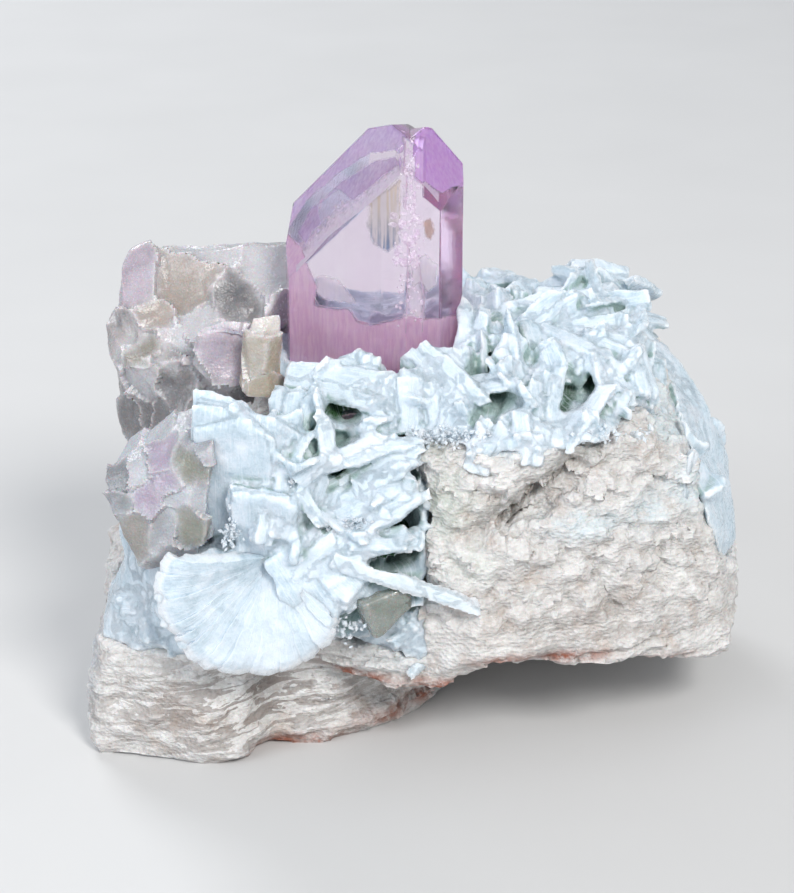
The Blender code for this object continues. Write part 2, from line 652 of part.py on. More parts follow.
def main():
    """Builds the six minerals, cut to fit round one another."""
    clear_scene()
    rock = rock_block("albite_matrix")
    crust = new_object("cleavelandite_blades", rock.data.copy())
    boolean(crust, all_blades("blades"), "UNION")
    largest_body(crust)
    boolean(crust, crust_space("crust_space", -0.5 * GAP), "INTERSECT")
    boolean(rock, crust_space("crust_space", 0.5 * GAP), "DIFFERENCE")
    for body in (rock, crust):
        largest_body(body)
        cut_rooms(body)
        close_seams(body)
        largest_body(body)

    kunzite = kunzite_solid("kunzite")
    quartz = quartz_solid("smoky_quartz")
    feldspar = hull("feldspar_crystal", FELDSPAR_CORNERS)
    spodumene = hull("broken_spodumene", SPODUMENE_CORNERS)
    boolean(quartz, hull("room", FELDSPAR_CORNERS, GAP), "DIFFERENCE")
    boolean(quartz, kunzite_solid("room", GAP), "DIFFERENCE")

    dress(kunzite, material("kunzite", (0.83, 0.66, 0.86), 0.03, 1.0))
    dress(quartz, material("smoky_quartz", (0.66, 0.62, 0.60), 0.25))
    dress(feldspar, material("feldspar", (0.74, 0.70, 0.60), 0.30))
    dress(spodumene, material("spodumene", (0.70, 0.66, 0.72), 0.20))
    dress(crust, material("cleavelandite", (0.78, 0.88, 0.91), 0.35))
    dress(rock, material("albite", (0.86, 0.84, 0.81), 0.70))


main()
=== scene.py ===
"""The looks of a kunzite crystal on albite: a lilac crystal, its bladed crust and the white rock under them.

Every size is in millimetres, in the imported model's own frame, and MM turns it into metres.
"""

import json
import logging
import math
import random
from dataclasses import dataclass, field
from enum import Enum
from typing import Callable, Sequence

import bpy
import numpy as np
from mathutils import Euler, Matrix, Vector, noise
from mathutils.bvhtree import BVHTree

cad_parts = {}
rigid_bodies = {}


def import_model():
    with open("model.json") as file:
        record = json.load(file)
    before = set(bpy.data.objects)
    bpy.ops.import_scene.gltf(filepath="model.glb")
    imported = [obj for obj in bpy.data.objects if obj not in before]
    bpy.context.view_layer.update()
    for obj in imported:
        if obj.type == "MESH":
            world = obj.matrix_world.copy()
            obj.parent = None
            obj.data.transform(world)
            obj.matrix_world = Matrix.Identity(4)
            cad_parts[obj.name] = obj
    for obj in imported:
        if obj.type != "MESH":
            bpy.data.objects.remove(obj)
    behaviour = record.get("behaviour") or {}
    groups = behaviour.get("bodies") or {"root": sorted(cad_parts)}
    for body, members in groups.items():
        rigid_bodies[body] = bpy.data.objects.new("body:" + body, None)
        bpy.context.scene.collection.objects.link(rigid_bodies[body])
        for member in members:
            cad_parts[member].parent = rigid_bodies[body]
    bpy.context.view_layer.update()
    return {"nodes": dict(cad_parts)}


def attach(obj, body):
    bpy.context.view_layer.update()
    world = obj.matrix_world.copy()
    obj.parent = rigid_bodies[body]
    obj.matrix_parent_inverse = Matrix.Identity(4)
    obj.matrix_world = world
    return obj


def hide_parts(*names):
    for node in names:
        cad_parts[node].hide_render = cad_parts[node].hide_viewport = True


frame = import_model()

MM = 0.001
BODY = "root"
LOG = logging.getLogger("kunzite")

Point = tuple[float, float, float]
Colour = tuple[float, float, float]


class Slot(Enum):
    """The record's material slots."""

    KUNZITE = "kunzite"
    QUARTZ = "smoky_quartz"
    FELDSPAR = "feldspar"
    SPODUMENE = "spodumene"
    BLADES = "cleavelandite"
    ALBITE = "albite"


class Relief(Enum):
    """The kinds of relief that a rock surface is given."""

    LUMPS = "CLOUDS"
    SCOOPS = "VORONOI"
    STEPS = "CELLS"


# ---- small tools ----


def deselect_all() -> None:
    """Leaves nothing selected, in object mode."""
    active = bpy.context.view_layer.objects.active
    if active is not None and active.mode != "OBJECT":
        bpy.ops.object.mode_set(mode="OBJECT")
    bpy.ops.object.select_all(action="DESELECT")


def pick(piece: bpy.types.Object) -> None:
    """Selects one object alone and makes it active.

    Args:
        piece: The object to pick.
    """
    deselect_all()
    piece.select_set(True)
    bpy.context.view_layer.objects.active = piece


def rename(piece: bpy.types.Object, name: str) -> bpy.types.Object:
    """Names an object and its mesh alike.

    Args:
        piece: The object to name.
        name: The new name.

    Returns:
        The same object.
    """
    piece.name = name
    piece.data.name = name
    return piece


def finish_modifier(piece: bpy.types.Object, kind: str, **values: object) -> None:
    """Adds a modifier to an object and applies it.

    Args:
        piece: The object to change.
        kind: Blender's name for the modifier.
        **values: The modifier's settings.
    """
    pick(piece)
    modifier = piece.modifiers.new(kind.lower(), kind)
    for key, value in values.items():
        setattr(modifier, key, value)
    bpy.ops.object.modifier_apply(modifier=modifier.name)


def copy_of_node(node: str, name: str) -> bpy.types.Object:
    """A merged copy of a CAD node, free to be shaped.

    Args:
        node: The CAD node's name.
        name: The copy's name.

    Returns:
        The new object, at the origin.
    """
    source = frame["nodes"][node]
    piece = bpy.data.objects.new(name, source.data.copy())
    bpy.context.scene.collection.objects.link(piece)
    rename(piece, name)
    piece.data.materials.clear()
    pick(piece)
    bpy.ops.object.mode_set(mode="EDIT")
    bpy.ops.mesh.select_all(action="SELECT")
    bpy.ops.mesh.remove_doubles(threshold=1e-6)
    bpy.ops.mesh.customdata_custom_splitnormals_clear()
    bpy.ops.object.mode_set(mode="OBJECT")
    return piece


def points_of(piece: bpy.types.Object) -> np.ndarray:
    """An object's vertices as rows of x, y and z in metres."""
    flat = np.empty(len(piece.data.vertices) * 3)
    piece.data.vertices.foreach_get("co", flat)
    return flat.reshape(-1, 3)


def place_points(piece: bpy.types.Object, points: np.ndarray) -> None:
    """Moves an object's vertices to new places.

    Args:
        piece: The object to change.
        points: One row of x, y and z in metres for each vertex.
    """
    piece.data.vertices.foreach_set("co", points.ravel())
    piece.data.update()


def normals_of(piece: bpy.types.Object) -> np.ndarray:
    """An object's vertex normals as rows."""
    flat = np.empty(len(piece.data.vertices) * 3)
    piece.data.vertex_normals.foreach_get("vector", flat)
    return flat.reshape(-1, 3)


def write_attribute(piece: bpy.types.Object, name: str, values: np.ndarray) -> None:
    """Stores one number for each vertex, for a material to read.

    Args:
        piece: The object to mark.
        name: The attribute's name.
        values: The numbers, one for each vertex.
    """
    layer = piece.data.attributes.new(name, "FLOAT", "POINT")
    layer.data.foreach_set("value", np.ascontiguousarray(values, dtype=np.float32))


def values_of(piece: bpy.types.Object, name: str) -> np.ndarray:
    """Each vertex's number of an attribute.

    Args:
        piece: The object.
        name: The attribute's name.

    Returns:
        One number for each vertex.
    """
    values = np.empty(len(piece.data.vertices))
    piece.data.attributes[name].data.foreach_get("value", values)
    return values


def write_map(piece: bpy.types.Object, name: str, places: np.ndarray) -> None:
    """Lays a flat map over a piece, for a material to read.

    Args:
        piece: The object to map.
        name: The map's name.
        places: Two numbers for each vertex.
    """
    corners = np.empty(len(piece.data.loops), dtype=np.int64)
    piece.data.loops.foreach_get("vertex_index", corners)
    layer = piece.data.uv_layers.new(name=name)
    layer.data.foreach_set("uv", places[corners].ravel().astype(np.float32))


def mesh_piece(name: str, points: np.ndarray, faces: list[tuple[int, ...]]) -> bpy.types.Object:
    """A new object from points and faces.

    Args:
        name: The object's name.
        points: One row of x, y and z in metres for each vertex.
        faces: The corners of each face.

    Returns:
        The new object, at the origin.
    """
    mesh = bpy.data.meshes.new(name)
    mesh.from_pydata([tuple(p) for p in points], [], faces)
    mesh.update()
    piece = bpy.data.objects.new(name, mesh)
    bpy.context.scene.collection.objects.link(piece)
    return piece


def smooth_by_angle(piece: bpy.types.Object, degrees: float) -> None:
    """Shades an object smooth wherever it bends less than an angle.

    Args:
        piece: The object to shade.
        degrees: The angle.
    """
    pick(piece)
    bpy.ops.object.shade_smooth_by_angle(angle=math.radians(degrees))


def hand_over(
    piece: bpy.types.Object,
    material: bpy.types.Material,
    nodes: Sequence[str] = (),
) -> None:
    """Dresses a finished piece, sets it riding on the body and hides the CAD nodes that it stands for.

    Args:
        piece: The finished object.
        material: The material that it wears.
        nodes: The CAD nodes that it stands for.
    """
    piece.data.materials.clear()
    piece.data.materials.append(material)
    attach(piece, BODY)
    if nodes:
        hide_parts(*nodes)
    LOG.info("%s: %d faces", piece.name, len(piece.data.polygons))


# ---- materials ----


class Board:
    """Lays out one material's nodes, one call for each."""

    def __init__(self, name: str) -> None:
        """Starts an empty material.

        Args:
            name: The material's name.
        """
        self.material = bpy.data.materials.new(name)
        self.material.use_nodes = True
        self.tree = self.material.node_tree
        self.tree.nodes.clear()
        self.coords = self.tree.nodes.new("ShaderNodeTexCoord")

    def node(self, kind: str, inputs: dict | None = None, **settings: object) -> bpy.types.Node:
        """Adds one node.

        Args:
            kind: The node's type, without its ShaderNode prefix.
            inputs: What each input socket is given: a value, or the socket that feeds it.
            **settings: The node's own settings.

        Returns:
            The new node.
        """
        made = self.tree.nodes.new("ShaderNode" + kind)
        for key, value in settings.items():
            setattr(made, key, value)
        for key, value in (inputs or {}).items():
            if isinstance(value, bpy.types.NodeSocket):
                self.tree.links.new(value, made.inputs[key])
            else:
                made.inputs[key].default_value = value
        return made

    def place(self, size: float, stretch: Point = (1, 1, 1), turn: Point = (0, 0, 0)) -> bpy.types.NodeSocket:
        """Object coordinates counted in lengths of size, stretched and turned.

        Args:
            size: The pattern's size in millimetres.
            stretch: How much longer the pattern is along each axis.
            turn: The pattern's turn about each axis, in degrees.

        Returns:
            The coordinates' socket.
        """
        turned = self.node(
            "Mapping",
            {
                "Vector": self.coords.outputs["Object"],
                "Rotation": [math.radians(t) for t in turn],
            },
            vector_type="TEXTURE",
        )
        scale = [1.0 / (size * MM * s) for s in stretch]
        scaled = self.node("VectorMath", {0: turned.outputs[0], 1: scale}, operation="MULTIPLY")
        return scaled.outputs[0]

    def noise(
        self,
        size: float,
        detail: float = 3.0,
        rough: float = 0.55,
        stretch: Point = (1, 1, 1),
        turn: Point = (0, 0, 0),
        warp: float = 0.0,
        vector: bpy.types.NodeSocket | None = None,
    ) -> bpy.types.NodeSocket:
        """A cloudy pattern from 0 to 1.

        Args:
            size: The pattern's size in millimetres.
            detail: How many finer layers it has.
            rough: How strong the finer layers are.
            stretch: How much longer it is along each axis.
            turn: Its turn about each axis, in degrees.
            warp: How much it is distorted.
            vector: Coordinates to use in place of the object's own.

        Returns:
            The pattern's socket.
        """
        made = self.node(
            "TexNoise",
            {
                "Vector": vector if vector is not None else self.place(size, stretch, turn),
                "Scale": 1.0,
                "Detail": detail,
                "Roughness": rough,
                "Distortion": warp,
            },
        )
        return made.outputs[0]

    def cells(
        self, size: float, stretch: Point = (1, 1, 1), turn: Point = (0, 0, 0), feature: str = "F1"
    ) -> bpy.types.Node:
        """A pattern of cells.

        Args:
            size: The cells' size in millimetres.
            stretch: How much longer they are along each axis.
            turn: Their turn about each axis, in degrees.
            feature: Which distance the pattern gives.

        Returns:
            The cells' node.
        """
        return self.node(
            "TexVoronoi",
            {"Vector": self.place(size, stretch, turn), "Scale": 1.0},
            feature=feature,
        )

    def ramp(self, factor: bpy.types.NodeSocket, stops: Sequence[tuple[float, Colour]]) -> bpy.types.NodeSocket:
        """Colours along a factor.

        Args:
            factor: The factor's socket.
            stops: Where each colour stands, and the colour.

        Returns:
            The colour's socket.
        """
        made = self.node("ValToRGB", {"Fac": factor})
        band = made.color_ramp.elements
        while len(band) < len(stops):
            band.new(0.5)
        for element, (position, colour) in zip(band, stops):
            element.position = position
            element.color = (*colour, 1.0)
        return made.outputs["Color"]

    def spread(self, factor: bpy.types.NodeSocket, low: float, high: float) -> bpy.types.NodeSocket:
        """A factor stretched so that low gives 0 and high gives 1.

        Args:
            factor: The factor's socket.
            low: What becomes 0.
            high: What becomes 1.

        Returns:
            The stretched factor's socket.
        """
        made = self.node(
            "MapRange",
            {"Value": factor, "From Min": low, "From Max": high},
            interpolation_type="SMOOTHSTEP",
        )
        return made.outputs[0]

    def math(self, operation: str, first: object, second: object = 0.0) -> bpy.types.NodeSocket:
        """A sum on two numbers or sockets, kept between 0 and 1.

        Args:
            operation: Blender's name for the sum.
            first: The first number or socket.
            second: The second number or socket.

        Returns:
            The result's socket.
        """
        made = self.node("Math", {0: first, 1: second}, operation=operation, use_clamp=True)
        return made.outputs[0]

    def blend(self, factor: object, under: object, over: object, how: str = "MIX") -> bpy.types.NodeSocket:
        """One colour laid over another.

        Args:
            factor: How much of the upper colour shows.
            under: The lower colour or its socket.
            over: The upper colour or its socket.
            how: Blender's name for the way that they blend.

        Returns:
            The blended colour's socket.
        """
        made = self.node("Mix", data_type="RGBA", blend_type=how, clamp_result=True)
        for index, value in ((0, factor), (6, under), (7, over)):
            if isinstance(value, bpy.types.NodeSocket):
                self.tree.links.new(value, made.inputs[index])
            elif isinstance(value, tuple):
                made.inputs[index].default_value = (*value, 1.0)
            else:
                made.inputs[index].default_value = value
        return made.outputs[2]

    def mark(self, name: str) -> bpy.types.NodeSocket:
        """The numbers that a piece carries under a name."""
        return self.node("Attribute", attribute_name=name).outputs["Fac"]

    def bump(
        self,
        height: bpy.types.NodeSocket,
        depth: float,
        normal: bpy.types.NodeSocket | None = None,
    ) -> bpy.types.NodeSocket:
        """Fine relief.

        Args:
            height: The height's socket, from 0 to 1.
            depth: The relief's height in millimetres.
            normal: Relief that lies under it.

        Returns:
            The normal's socket.
        """
        inputs = {"Height": height, "Distance": depth * MM, "Strength": 1.0}
        if normal is not None:
            inputs["Normal"] = normal
        return self.node("Bump", inputs).outputs[0]

    def surface(self, inputs: dict, volume: tuple[Colour, float] | None = None) -> bpy.types.Material:
        """Closes the material with its main shader.

        Args:
            inputs: What each of the shader's sockets is given.
            volume: The colour and density that the inside absorbs with, if it is clear.

        Returns:
            The finished material.
        """
        shader = self.node("BsdfPrincipled", inputs)
        out = self.node("OutputMaterial", {"Surface": shader.outputs[0]})
        if volume is not None:
            absorb = self.node(
                "VolumeAbsorption", {"Color": (*volume[0], 1.0), "Density": volume[1]}
            )
            self.tree.links.new(absorb.outputs[0], out.inputs["Volume"])
        return self.material


@dataclass(frozen=True)
class RockFinish:
    """White granular albite with cream and grey patches, brown seams and rust along its lower edges; painted shade in
    its creases and hollows, a painted grey shadow in its groove and under its foot, a blue-grey at its ends that is
    partly painted shade, and a painted highlight on its sharp edges.
    """

    name: str = "albite"
    white: Colour = (0.55, 0.535, 0.525)
    bright: Colour = (0.76, 0.755, 0.745)
    cream: Colour = (0.52, 0.46, 0.42)
    painted_shadow: Colour = (0.33, 0.32, 0.30)
    sage: Colour = (0.44, 0.49, 0.43)
    end_grey_and_shade: Colour = (0.33, 0.37, 0.42)
    ice: Colour = (0.58, 0.70, 0.76)
    seam: Colour = (0.16, 0.12, 0.10)
    rust: Colour = (0.26, 0.07, 0.03)
    shade: Colour = (0.46, 0.43, 0.40)

    def make(self) -> bpy.types.Material:
        """Builds the material.

        Returns:
            The finished material.
        """
        board = Board(self.name)
        broad = board.noise(7.0, 5, 0.62, warp=0.6)
        grain = board.noise(0.9, 5, 0.7)
        flakes = board.cells(0.8, (1.5, 1.0, 0.8), (20, 0, 30))
        colour = board.ramp(broad, [(0.34, self.cream), (0.47, self.white), (0.66, self.bright)])
        colour = board.blend(board.math("MULTIPLY", board.spread(grain, 0.54, 0.72), 0.7), colour, self.cream)
        veins = board.noise(3.4, 5, 0.62, (1.0, 1.0, 0.7), warp=0.5)
        # Two of these patches are painted shade: grey along the groove and under the foot, and blue-grey at the ends,
        # which is partly the stone's own grey. Sage, ice and tan are the stone's own patches.
        for mark, tone in (
            ("sage", self.sage), ("painted_shadow", self.painted_shadow), ("end_grey_and_shade", self.end_grey_and_shade), ("ice", self.ice), ("tan", self.cream),
        ):
            amount = board.math("MULTIPLY", board.mark(mark), board.spread(veins, 0.15, 0.6))
            colour = board.blend(board.math("MULTIPLY", board.spread(amount, 0.1, 0.9), 0.65), colour, tone)
        colour = board.blend(board.math("MULTIPLY", board.spread(grain, 0.52, 0.36), 0.55), colour, self.bright)
        cracks = board.noise(6.5, 5, 0.6, (1.6, 1.6, 0.3), (4, -6, 0), warp=1.2)
        line = board.math("ABSOLUTE", board.math("SUBTRACT", cracks, 0.5))
        line = board.math("SUBTRACT", 1.0, board.spread(line, 0.0, 0.011))
        line = board.math("MULTIPLY", line, board.math("MULTIPLY", board.mark("seam"), 0.7))
        colour = board.blend(line, colour, self.seam)
        # Painted shade in the creases, and a painted highlight on the sharp edges.
        colour = board.blend(board.math("MULTIPLY", board.mark("crease"), 0.35), colour, self.shade)
        colour = board.blend(board.math("MULTIPLY", board.mark("edge"), 0.6), colour, self.bright)
        rust = board.math("MULTIPLY", board.mark("rust"), board.spread(board.noise(3.0, 5, 0.7), 0.28, 0.6))
        colour = board.blend(rust, colour, self.rust)
        # Painted shade, deeper in the hollows.
        deep = board.math("MULTIPLY", board.spread(board.mark("hollow"), 0.3, 0.95), 0.5)
        colour = board.blend(deep, colour, self.shade, "MULTIPLY")
        relief = board.bump(board.noise(0.55, 4, 0.7), 0.24)
        relief = board.bump(flakes.outputs["Distance"], 0.3, relief)
        relief = board.bump(board.noise(0.2, 2, 0.6), 0.06, relief)
        shine = board.ramp(flakes.outputs["Color"], [(0.2, (0.6,) * 3), (0.8, (0.42,) * 3), (0.95, (0.15,) * 3)])
        return board.surface(
            {
                "Base Color": colour,
                "Roughness": shine,
                "IOR": 1.53,
                "Subsurface Weight": 0.08,
                "Subsurface Scale": 0.8 * MM,
                "Normal": relief,
            }
        )


@dataclass(frozen=True)
class BladeFinish:
    """Icy blue-white bladed albite, with a painted white highlight along its edges, painted green shade in its hollows
    and creases and painted near black-green shade deep in its open pits; the grey at its left end is partly painted
    shade.
    """

    name: str = "cleavelandite"
    body: Colour = (0.38, 0.49, 0.56)
    bright: Colour = (0.53, 0.64, 0.72)
    milk: Colour = (0.71, 0.77, 0.84)
    green: Colour = (0.29, 0.43, 0.38)
    deep: Colour = (0.03, 0.09, 0.03)
    grey: Colour = (0.36, 0.39, 0.42)
    rim: Colour = (0.86, 0.90, 0.95)
    grain: str = "grain"

    def make(self) -> bpy.types.Material:
        """Builds the material.

        Returns:
            The finished material.
        """
        board = Board(self.name)
        cloud = board.noise(4.5, 4, 0.6, warp=0.4)
        fine = board.noise(0.8, 4, 0.65)
        colour = board.ramp(cloud, [(0.33, self.body), (0.5, self.bright), (0.7, self.milk)])
        colour = board.blend(board.math("MULTIPLY", board.mark("tone"), 0.5), colour, self.milk)
        colour = board.blend(board.math("MULTIPLY", board.spread(fine, 0.52, 0.7), 0.45), colour, self.milk)
        # Painted shade: green in the sheltered hollows.
        shade = board.spread(board.mark("hollow"), 0.2, 0.6)
        colour = board.blend(board.math("MULTIPLY", shade, 0.75), colour, self.green)
        # Grey at the crust's left end, partly painted shade.
        end_grey_and_shade = board.math("MULTIPLY", board.mark("end_grey_and_shade"), board.spread(cloud, 0.3, 0.6))
        colour = board.blend(end_grey_and_shade, colour, self.grey)
        # Painted shade in the creases, and a painted highlight along the sharp edges.
        colour = board.blend(board.math("MULTIPLY", board.mark("crease"), 0.4), colour, self.green)
        colour = board.blend(board.math("MULTIPLY", board.mark("edge"), 0.7), colour, self.rim)
        # Painted shade: near black-green deep in the open pits.
        colour = board.blend(board.spread(board.mark("pit_shade"), 0.12, 0.55), colour, self.deep)
        way = board.node("UVMap", uv_map=self.grain).outputs[0]
        lines = board.node("VectorMath", {0: way, 1: (2.6, 0.16, 1.0)}, operation="MULTIPLY").outputs[0]
        streaks = board.noise(1.0, 3, 0.6, vector=lines)
        colour = board.blend(board.math("MULTIPLY", board.spread(streaks, 0.5, 0.66), 0.6), colour, self.milk)
        relief = board.bump(streaks, 0.2)
        relief = board.bump(board.noise(0.5, 3, 0.65), 0.1, relief)
        return board.surface(
            {
                "Base Color": colour,
                "Roughness": board.ramp(fine, [(0.35, (0.2,) * 3), (0.7, (0.46,) * 3)]),
                "IOR": 1.53,
                "Subsurface Weight": 0.6,
                "Subsurface Radius": (0.85, 1.0, 1.05),
                "Subsurface Scale": 2.2 * MM,
                "Normal": relief,
            }
        )


@dataclass(frozen=True)
class ClearLilac:
    """The kunzite's own clear lilac, finely striated up and down."""

    name: str = "kunzite"
    tint: Colour = (0.96, 0.70, 0.98)
    density: float = 18.0

    def make(self) -> bpy.types.Material:
        """Builds the material.

        Returns:
            The finished material.
        """
        board = Board(self.name)
        lines = board.noise(0.35, 3, 0.6, (1, 1, 40))
        relief = board.bump(lines, 0.012)
        patches = board.noise(2.2, 4, 0.6, (1, 1, 2.2))
        rough = board.ramp(patches, [(0.5, (0.0,) * 3), (0.66, (0.06,) * 3), (0.8, (0.16,) * 3)])
        return board.surface(
            {
                "Base Color": board.ramp(patches, [(0.3, (0.98, 0.94, 0.99)), (0.8, (0.93, 0.86, 0.95))]),
                "Roughness": rough,
                "IOR": 1.66,
                "Transmission Weight": 1.0,
                "Normal": relief,
            },
            (self.tint, self.density),
        )


@dataclass(frozen=True)
class VeilFinish:
    """A milky or coloured veil inside the crystal, streaked up and down and thinning in patches, with a faint painted
    glow.
    """

    name: str
    colour: Colour
    streak: Colour
    cover: float
    size: float = 1.8
    stretch: Point = (1.0, 1.0, 3.0)
    rough: float = 0.35
    glow: float = 0.07

    def make(self) -> bpy.types.Material:
        """Builds the material.

        Returns:
            The finished material.
        """
        board = Board(self.name)
        cloud = board.noise(self.size, 5, 0.62, self.stretch, warp=0.4)
        fine = board.noise(0.5, 3, 0.6, (1, 1, 8))
        colour = board.ramp(fine, [(0.35, self.colour), (0.65, self.streak)])
        held = board.math("ADD", board.math("MULTIPLY", board.mark("fade"), 0.45), board.math("MULTIPLY", cloud, 0.55))
        alpha = board.math("MULTIPLY", board.spread(held, 0.36, 0.66), self.cover)
        return board.surface(
            {
                "Base Color": colour,
                # Painted light: a faint glow stands in for the light that the glass keeps from the veil.
                "Emission Color": colour,
                "Emission Strength": self.glow,
                "Roughness": self.rough,
                "Alpha": alpha,
                "Normal": board.bump(fine, 0.06),
                "Subsurface Weight": 0.2,
                "Subsurface Scale": 1.0 * MM,
            }
        )


@dataclass(frozen=True)
class SheenFinish:
    """The streaked cream and blue sheen of a flat gas-filled crack, a painted reflection: blue low on it and cream
    high on it.
    """

    name: str = "kunzite_sheen"
    cream: Colour = (0.92, 0.84, 0.66)
    blue: Colour = (0.22, 0.34, 0.56)
    cover: float = 0.85
    low: float = 90.0
    high: float = 99.0

    def make(self) -> bpy.types.Material:
        """Builds the material.

        Returns:
            The finished material.
        """
        board = Board(self.name)
        streaks = board.noise(0.7, 3, 0.6, (1, 1, 30))
        # Painted reflection: blue low on the crack, cream high on it, with white streaks.
        height = board.node("SeparateXYZ", {0: board.coords.outputs["Object"]}).outputs[2]
        share = board.spread(height, self.low * MM, self.high * MM)
        colour = board.blend(share, self.blue, self.cream)
        colour = board.blend(board.spread(streaks, 0.45, 0.62), colour, (0.97, 0.95, 0.92))
        cloud = board.noise(2.0, 4, 0.6)
        held = board.math("ADD", board.math("MULTIPLY", board.mark("fade"), 0.5), board.math("MULTIPLY", cloud, 0.5))
        alpha = board.math("MULTIPLY", board.spread(held, 0.36, 0.72), self.cover)
        return board.surface(
            {
                "Base Color": colour,
                "Roughness": 0.18,
                "Alpha": alpha,
                "Normal": board.bump(streaks, 0.08),
                "Coat Weight": 0.4,
            }
        )


@dataclass(frozen=True)
class BubbleFinish:
    """The bright, half-clear skin of the bubbles and frosty chips, with a painted glow."""

    name: str = "kunzite_bubbles"

    def make(self) -> bpy.types.Material:
        """Builds the material.

        Returns:
            The finished material.
        """
        board = Board(self.name)
        cloud = board.noise(0.8, 4, 0.6)
        colour = board.ramp(cloud, [(0.35, (0.84, 0.70, 0.86)), (0.6, (0.99, 0.97, 1.0))])
        return board.surface(
            {
                "Base Color": colour,
                # Painted light: the skin glows a little.
                "Emission Color": colour,
                "Emission Strength": 0.2,
                "Roughness": 0.12,
                "Alpha": board.ramp(cloud, [(0.3, (0.35,) * 3), (0.65, (0.9,) * 3)]),
                "Normal": board.bump(cloud, 0.1),
            }
        )


@dataclass(frozen=True)
class QuartzFinish:
    """Smoky, milky quartz: beige and grey, with white frosting, olive stains and lilac patches; painted highlights
    along its break rims and sharp edges, and painted shade in its hollows.
    """

    name: str
    base: Colour
    smoke: Colour
    frost: Colour
    stain_and_shade: Colour
    lilac: Colour
    clear: float = 0.25
    tan: Colour = (0.46, 0.36, 0.30)

    def make(self) -> bpy.types.Material:
        """Builds the material.

        Returns:
            The finished material.
        """
        board = Board(self.name)
        cloud = board.noise(8.0, 3, 0.55, warp=0.5)
        ragged = board.noise(2.2, 5, 0.65, warp=0.8)
        fine = board.noise(0.9, 5, 0.65)
        colour = board.ramp(cloud, [(0.25, self.smoke), (0.5, self.base), (0.8, self.frost)])
        colour = board.blend(board.math("MULTIPLY", board.spread(fine, 0.55, 0.75), 0.35), colour, self.frost)
        for mark, tone in (
            ("tan", self.tan), ("smoke", self.smoke), ("frost", self.frost), ("lilac", self.lilac), ("stain_and_shade", self.stain_and_shade),
        ):
            amount = board.math("MULTIPLY", board.mark(mark), board.math("ADD", ragged, 0.35))
            colour = board.blend(board.math("MULTIPLY", board.spread(amount, 0.15, 1.0), 0.75), colour, tone)
        # Painted highlight along the break rims and the sharp edges.
        rim = board.math("MULTIPLY", board.mark("rim"), board.spread(ragged, 0.35, 0.65))
        colour = board.blend(board.math("MULTIPLY", rim, 0.6), colour, (0.78, 0.78, 0.82))
        colour = board.blend(board.math("MULTIPLY", board.mark("edge"), 0.6), colour, (0.84, 0.84, 0.88))
        # Painted shade in the hollows.
        shade = board.spread(board.mark("hollow"), 0.3, 1.0)
        colour = board.blend(board.math("MULTIPLY", shade, 0.55), colour, (0.25, 0.24, 0.2), "MULTIPLY")
        relief = board.bump(board.noise(1.6, 4, 0.6), 0.22)
        relief = board.bump(board.noise(0.4, 3, 0.6), 0.05, relief)
        return board.surface(
            {
                "Base Color": colour,
                "Roughness": board.ramp(fine, [(0.35, (0.1,) * 3), (0.65, (0.34,) * 3)]),
                "IOR": 1.54,
                "Transmission Weight": self.clear,
                "Subsurface Weight": 0.3,
                "Subsurface Scale": 1.8 * MM,
                "Normal": relief,
            }
        )


@dataclass(frozen=True)
class FloorFinish:
    """A plain pale studio floor with a very faint mottle."""

    name: str = "studio_floor"
    tone: float = 0.60

    def make(self) -> bpy.types.Material:
        """Builds the material.

        Returns:
            The finished material.
        """
        board = Board(self.name)
        low, high = self.tone * 0.985, self.tone * 1.015
        colour = board.ramp(board.noise(60.0, 2), [(0.3, (low,) * 3), (0.7, (high,) * 3)])
        return board.surface({"Base Color": colour, "Roughness": 0.7})


# ---- surface tools ----


@dataclass
class Spot:
    """A patch of a surface that takes a colour: its middle, its reach and its strength."""

    middle: Point
    reach: Point
    strength: float = 1.0

    def amount(self, points: np.ndarray) -> np.ndarray:
        """How much of the patch each point has, from 0 to 1.

        Args:
            points: Rows of x, y and z in millimetres.

        Returns:
            One number for each point.
        """
        away = (points - np.array(self.middle)) / np.array(self.reach)
        return self.strength * np.clip(1.25 - np.linalg.norm(away, axis=1), 0.0, 1.0)


def paint(piece: bpy.types.Object, name: str, spots: Sequence[Spot]) -> None:
    """Marks patches on a piece for its material.

    Args:
        piece: The object to mark.
        name: The attribute's name.
        spots: The patches.
    """
    points = points_of(piece) / MM
    total = np.zeros(len(points))
    for spot in spots:
        total = np.maximum(total, spot.amount(points))
    write_attribute(piece, name, np.clip(total, 0.0, 1.0))


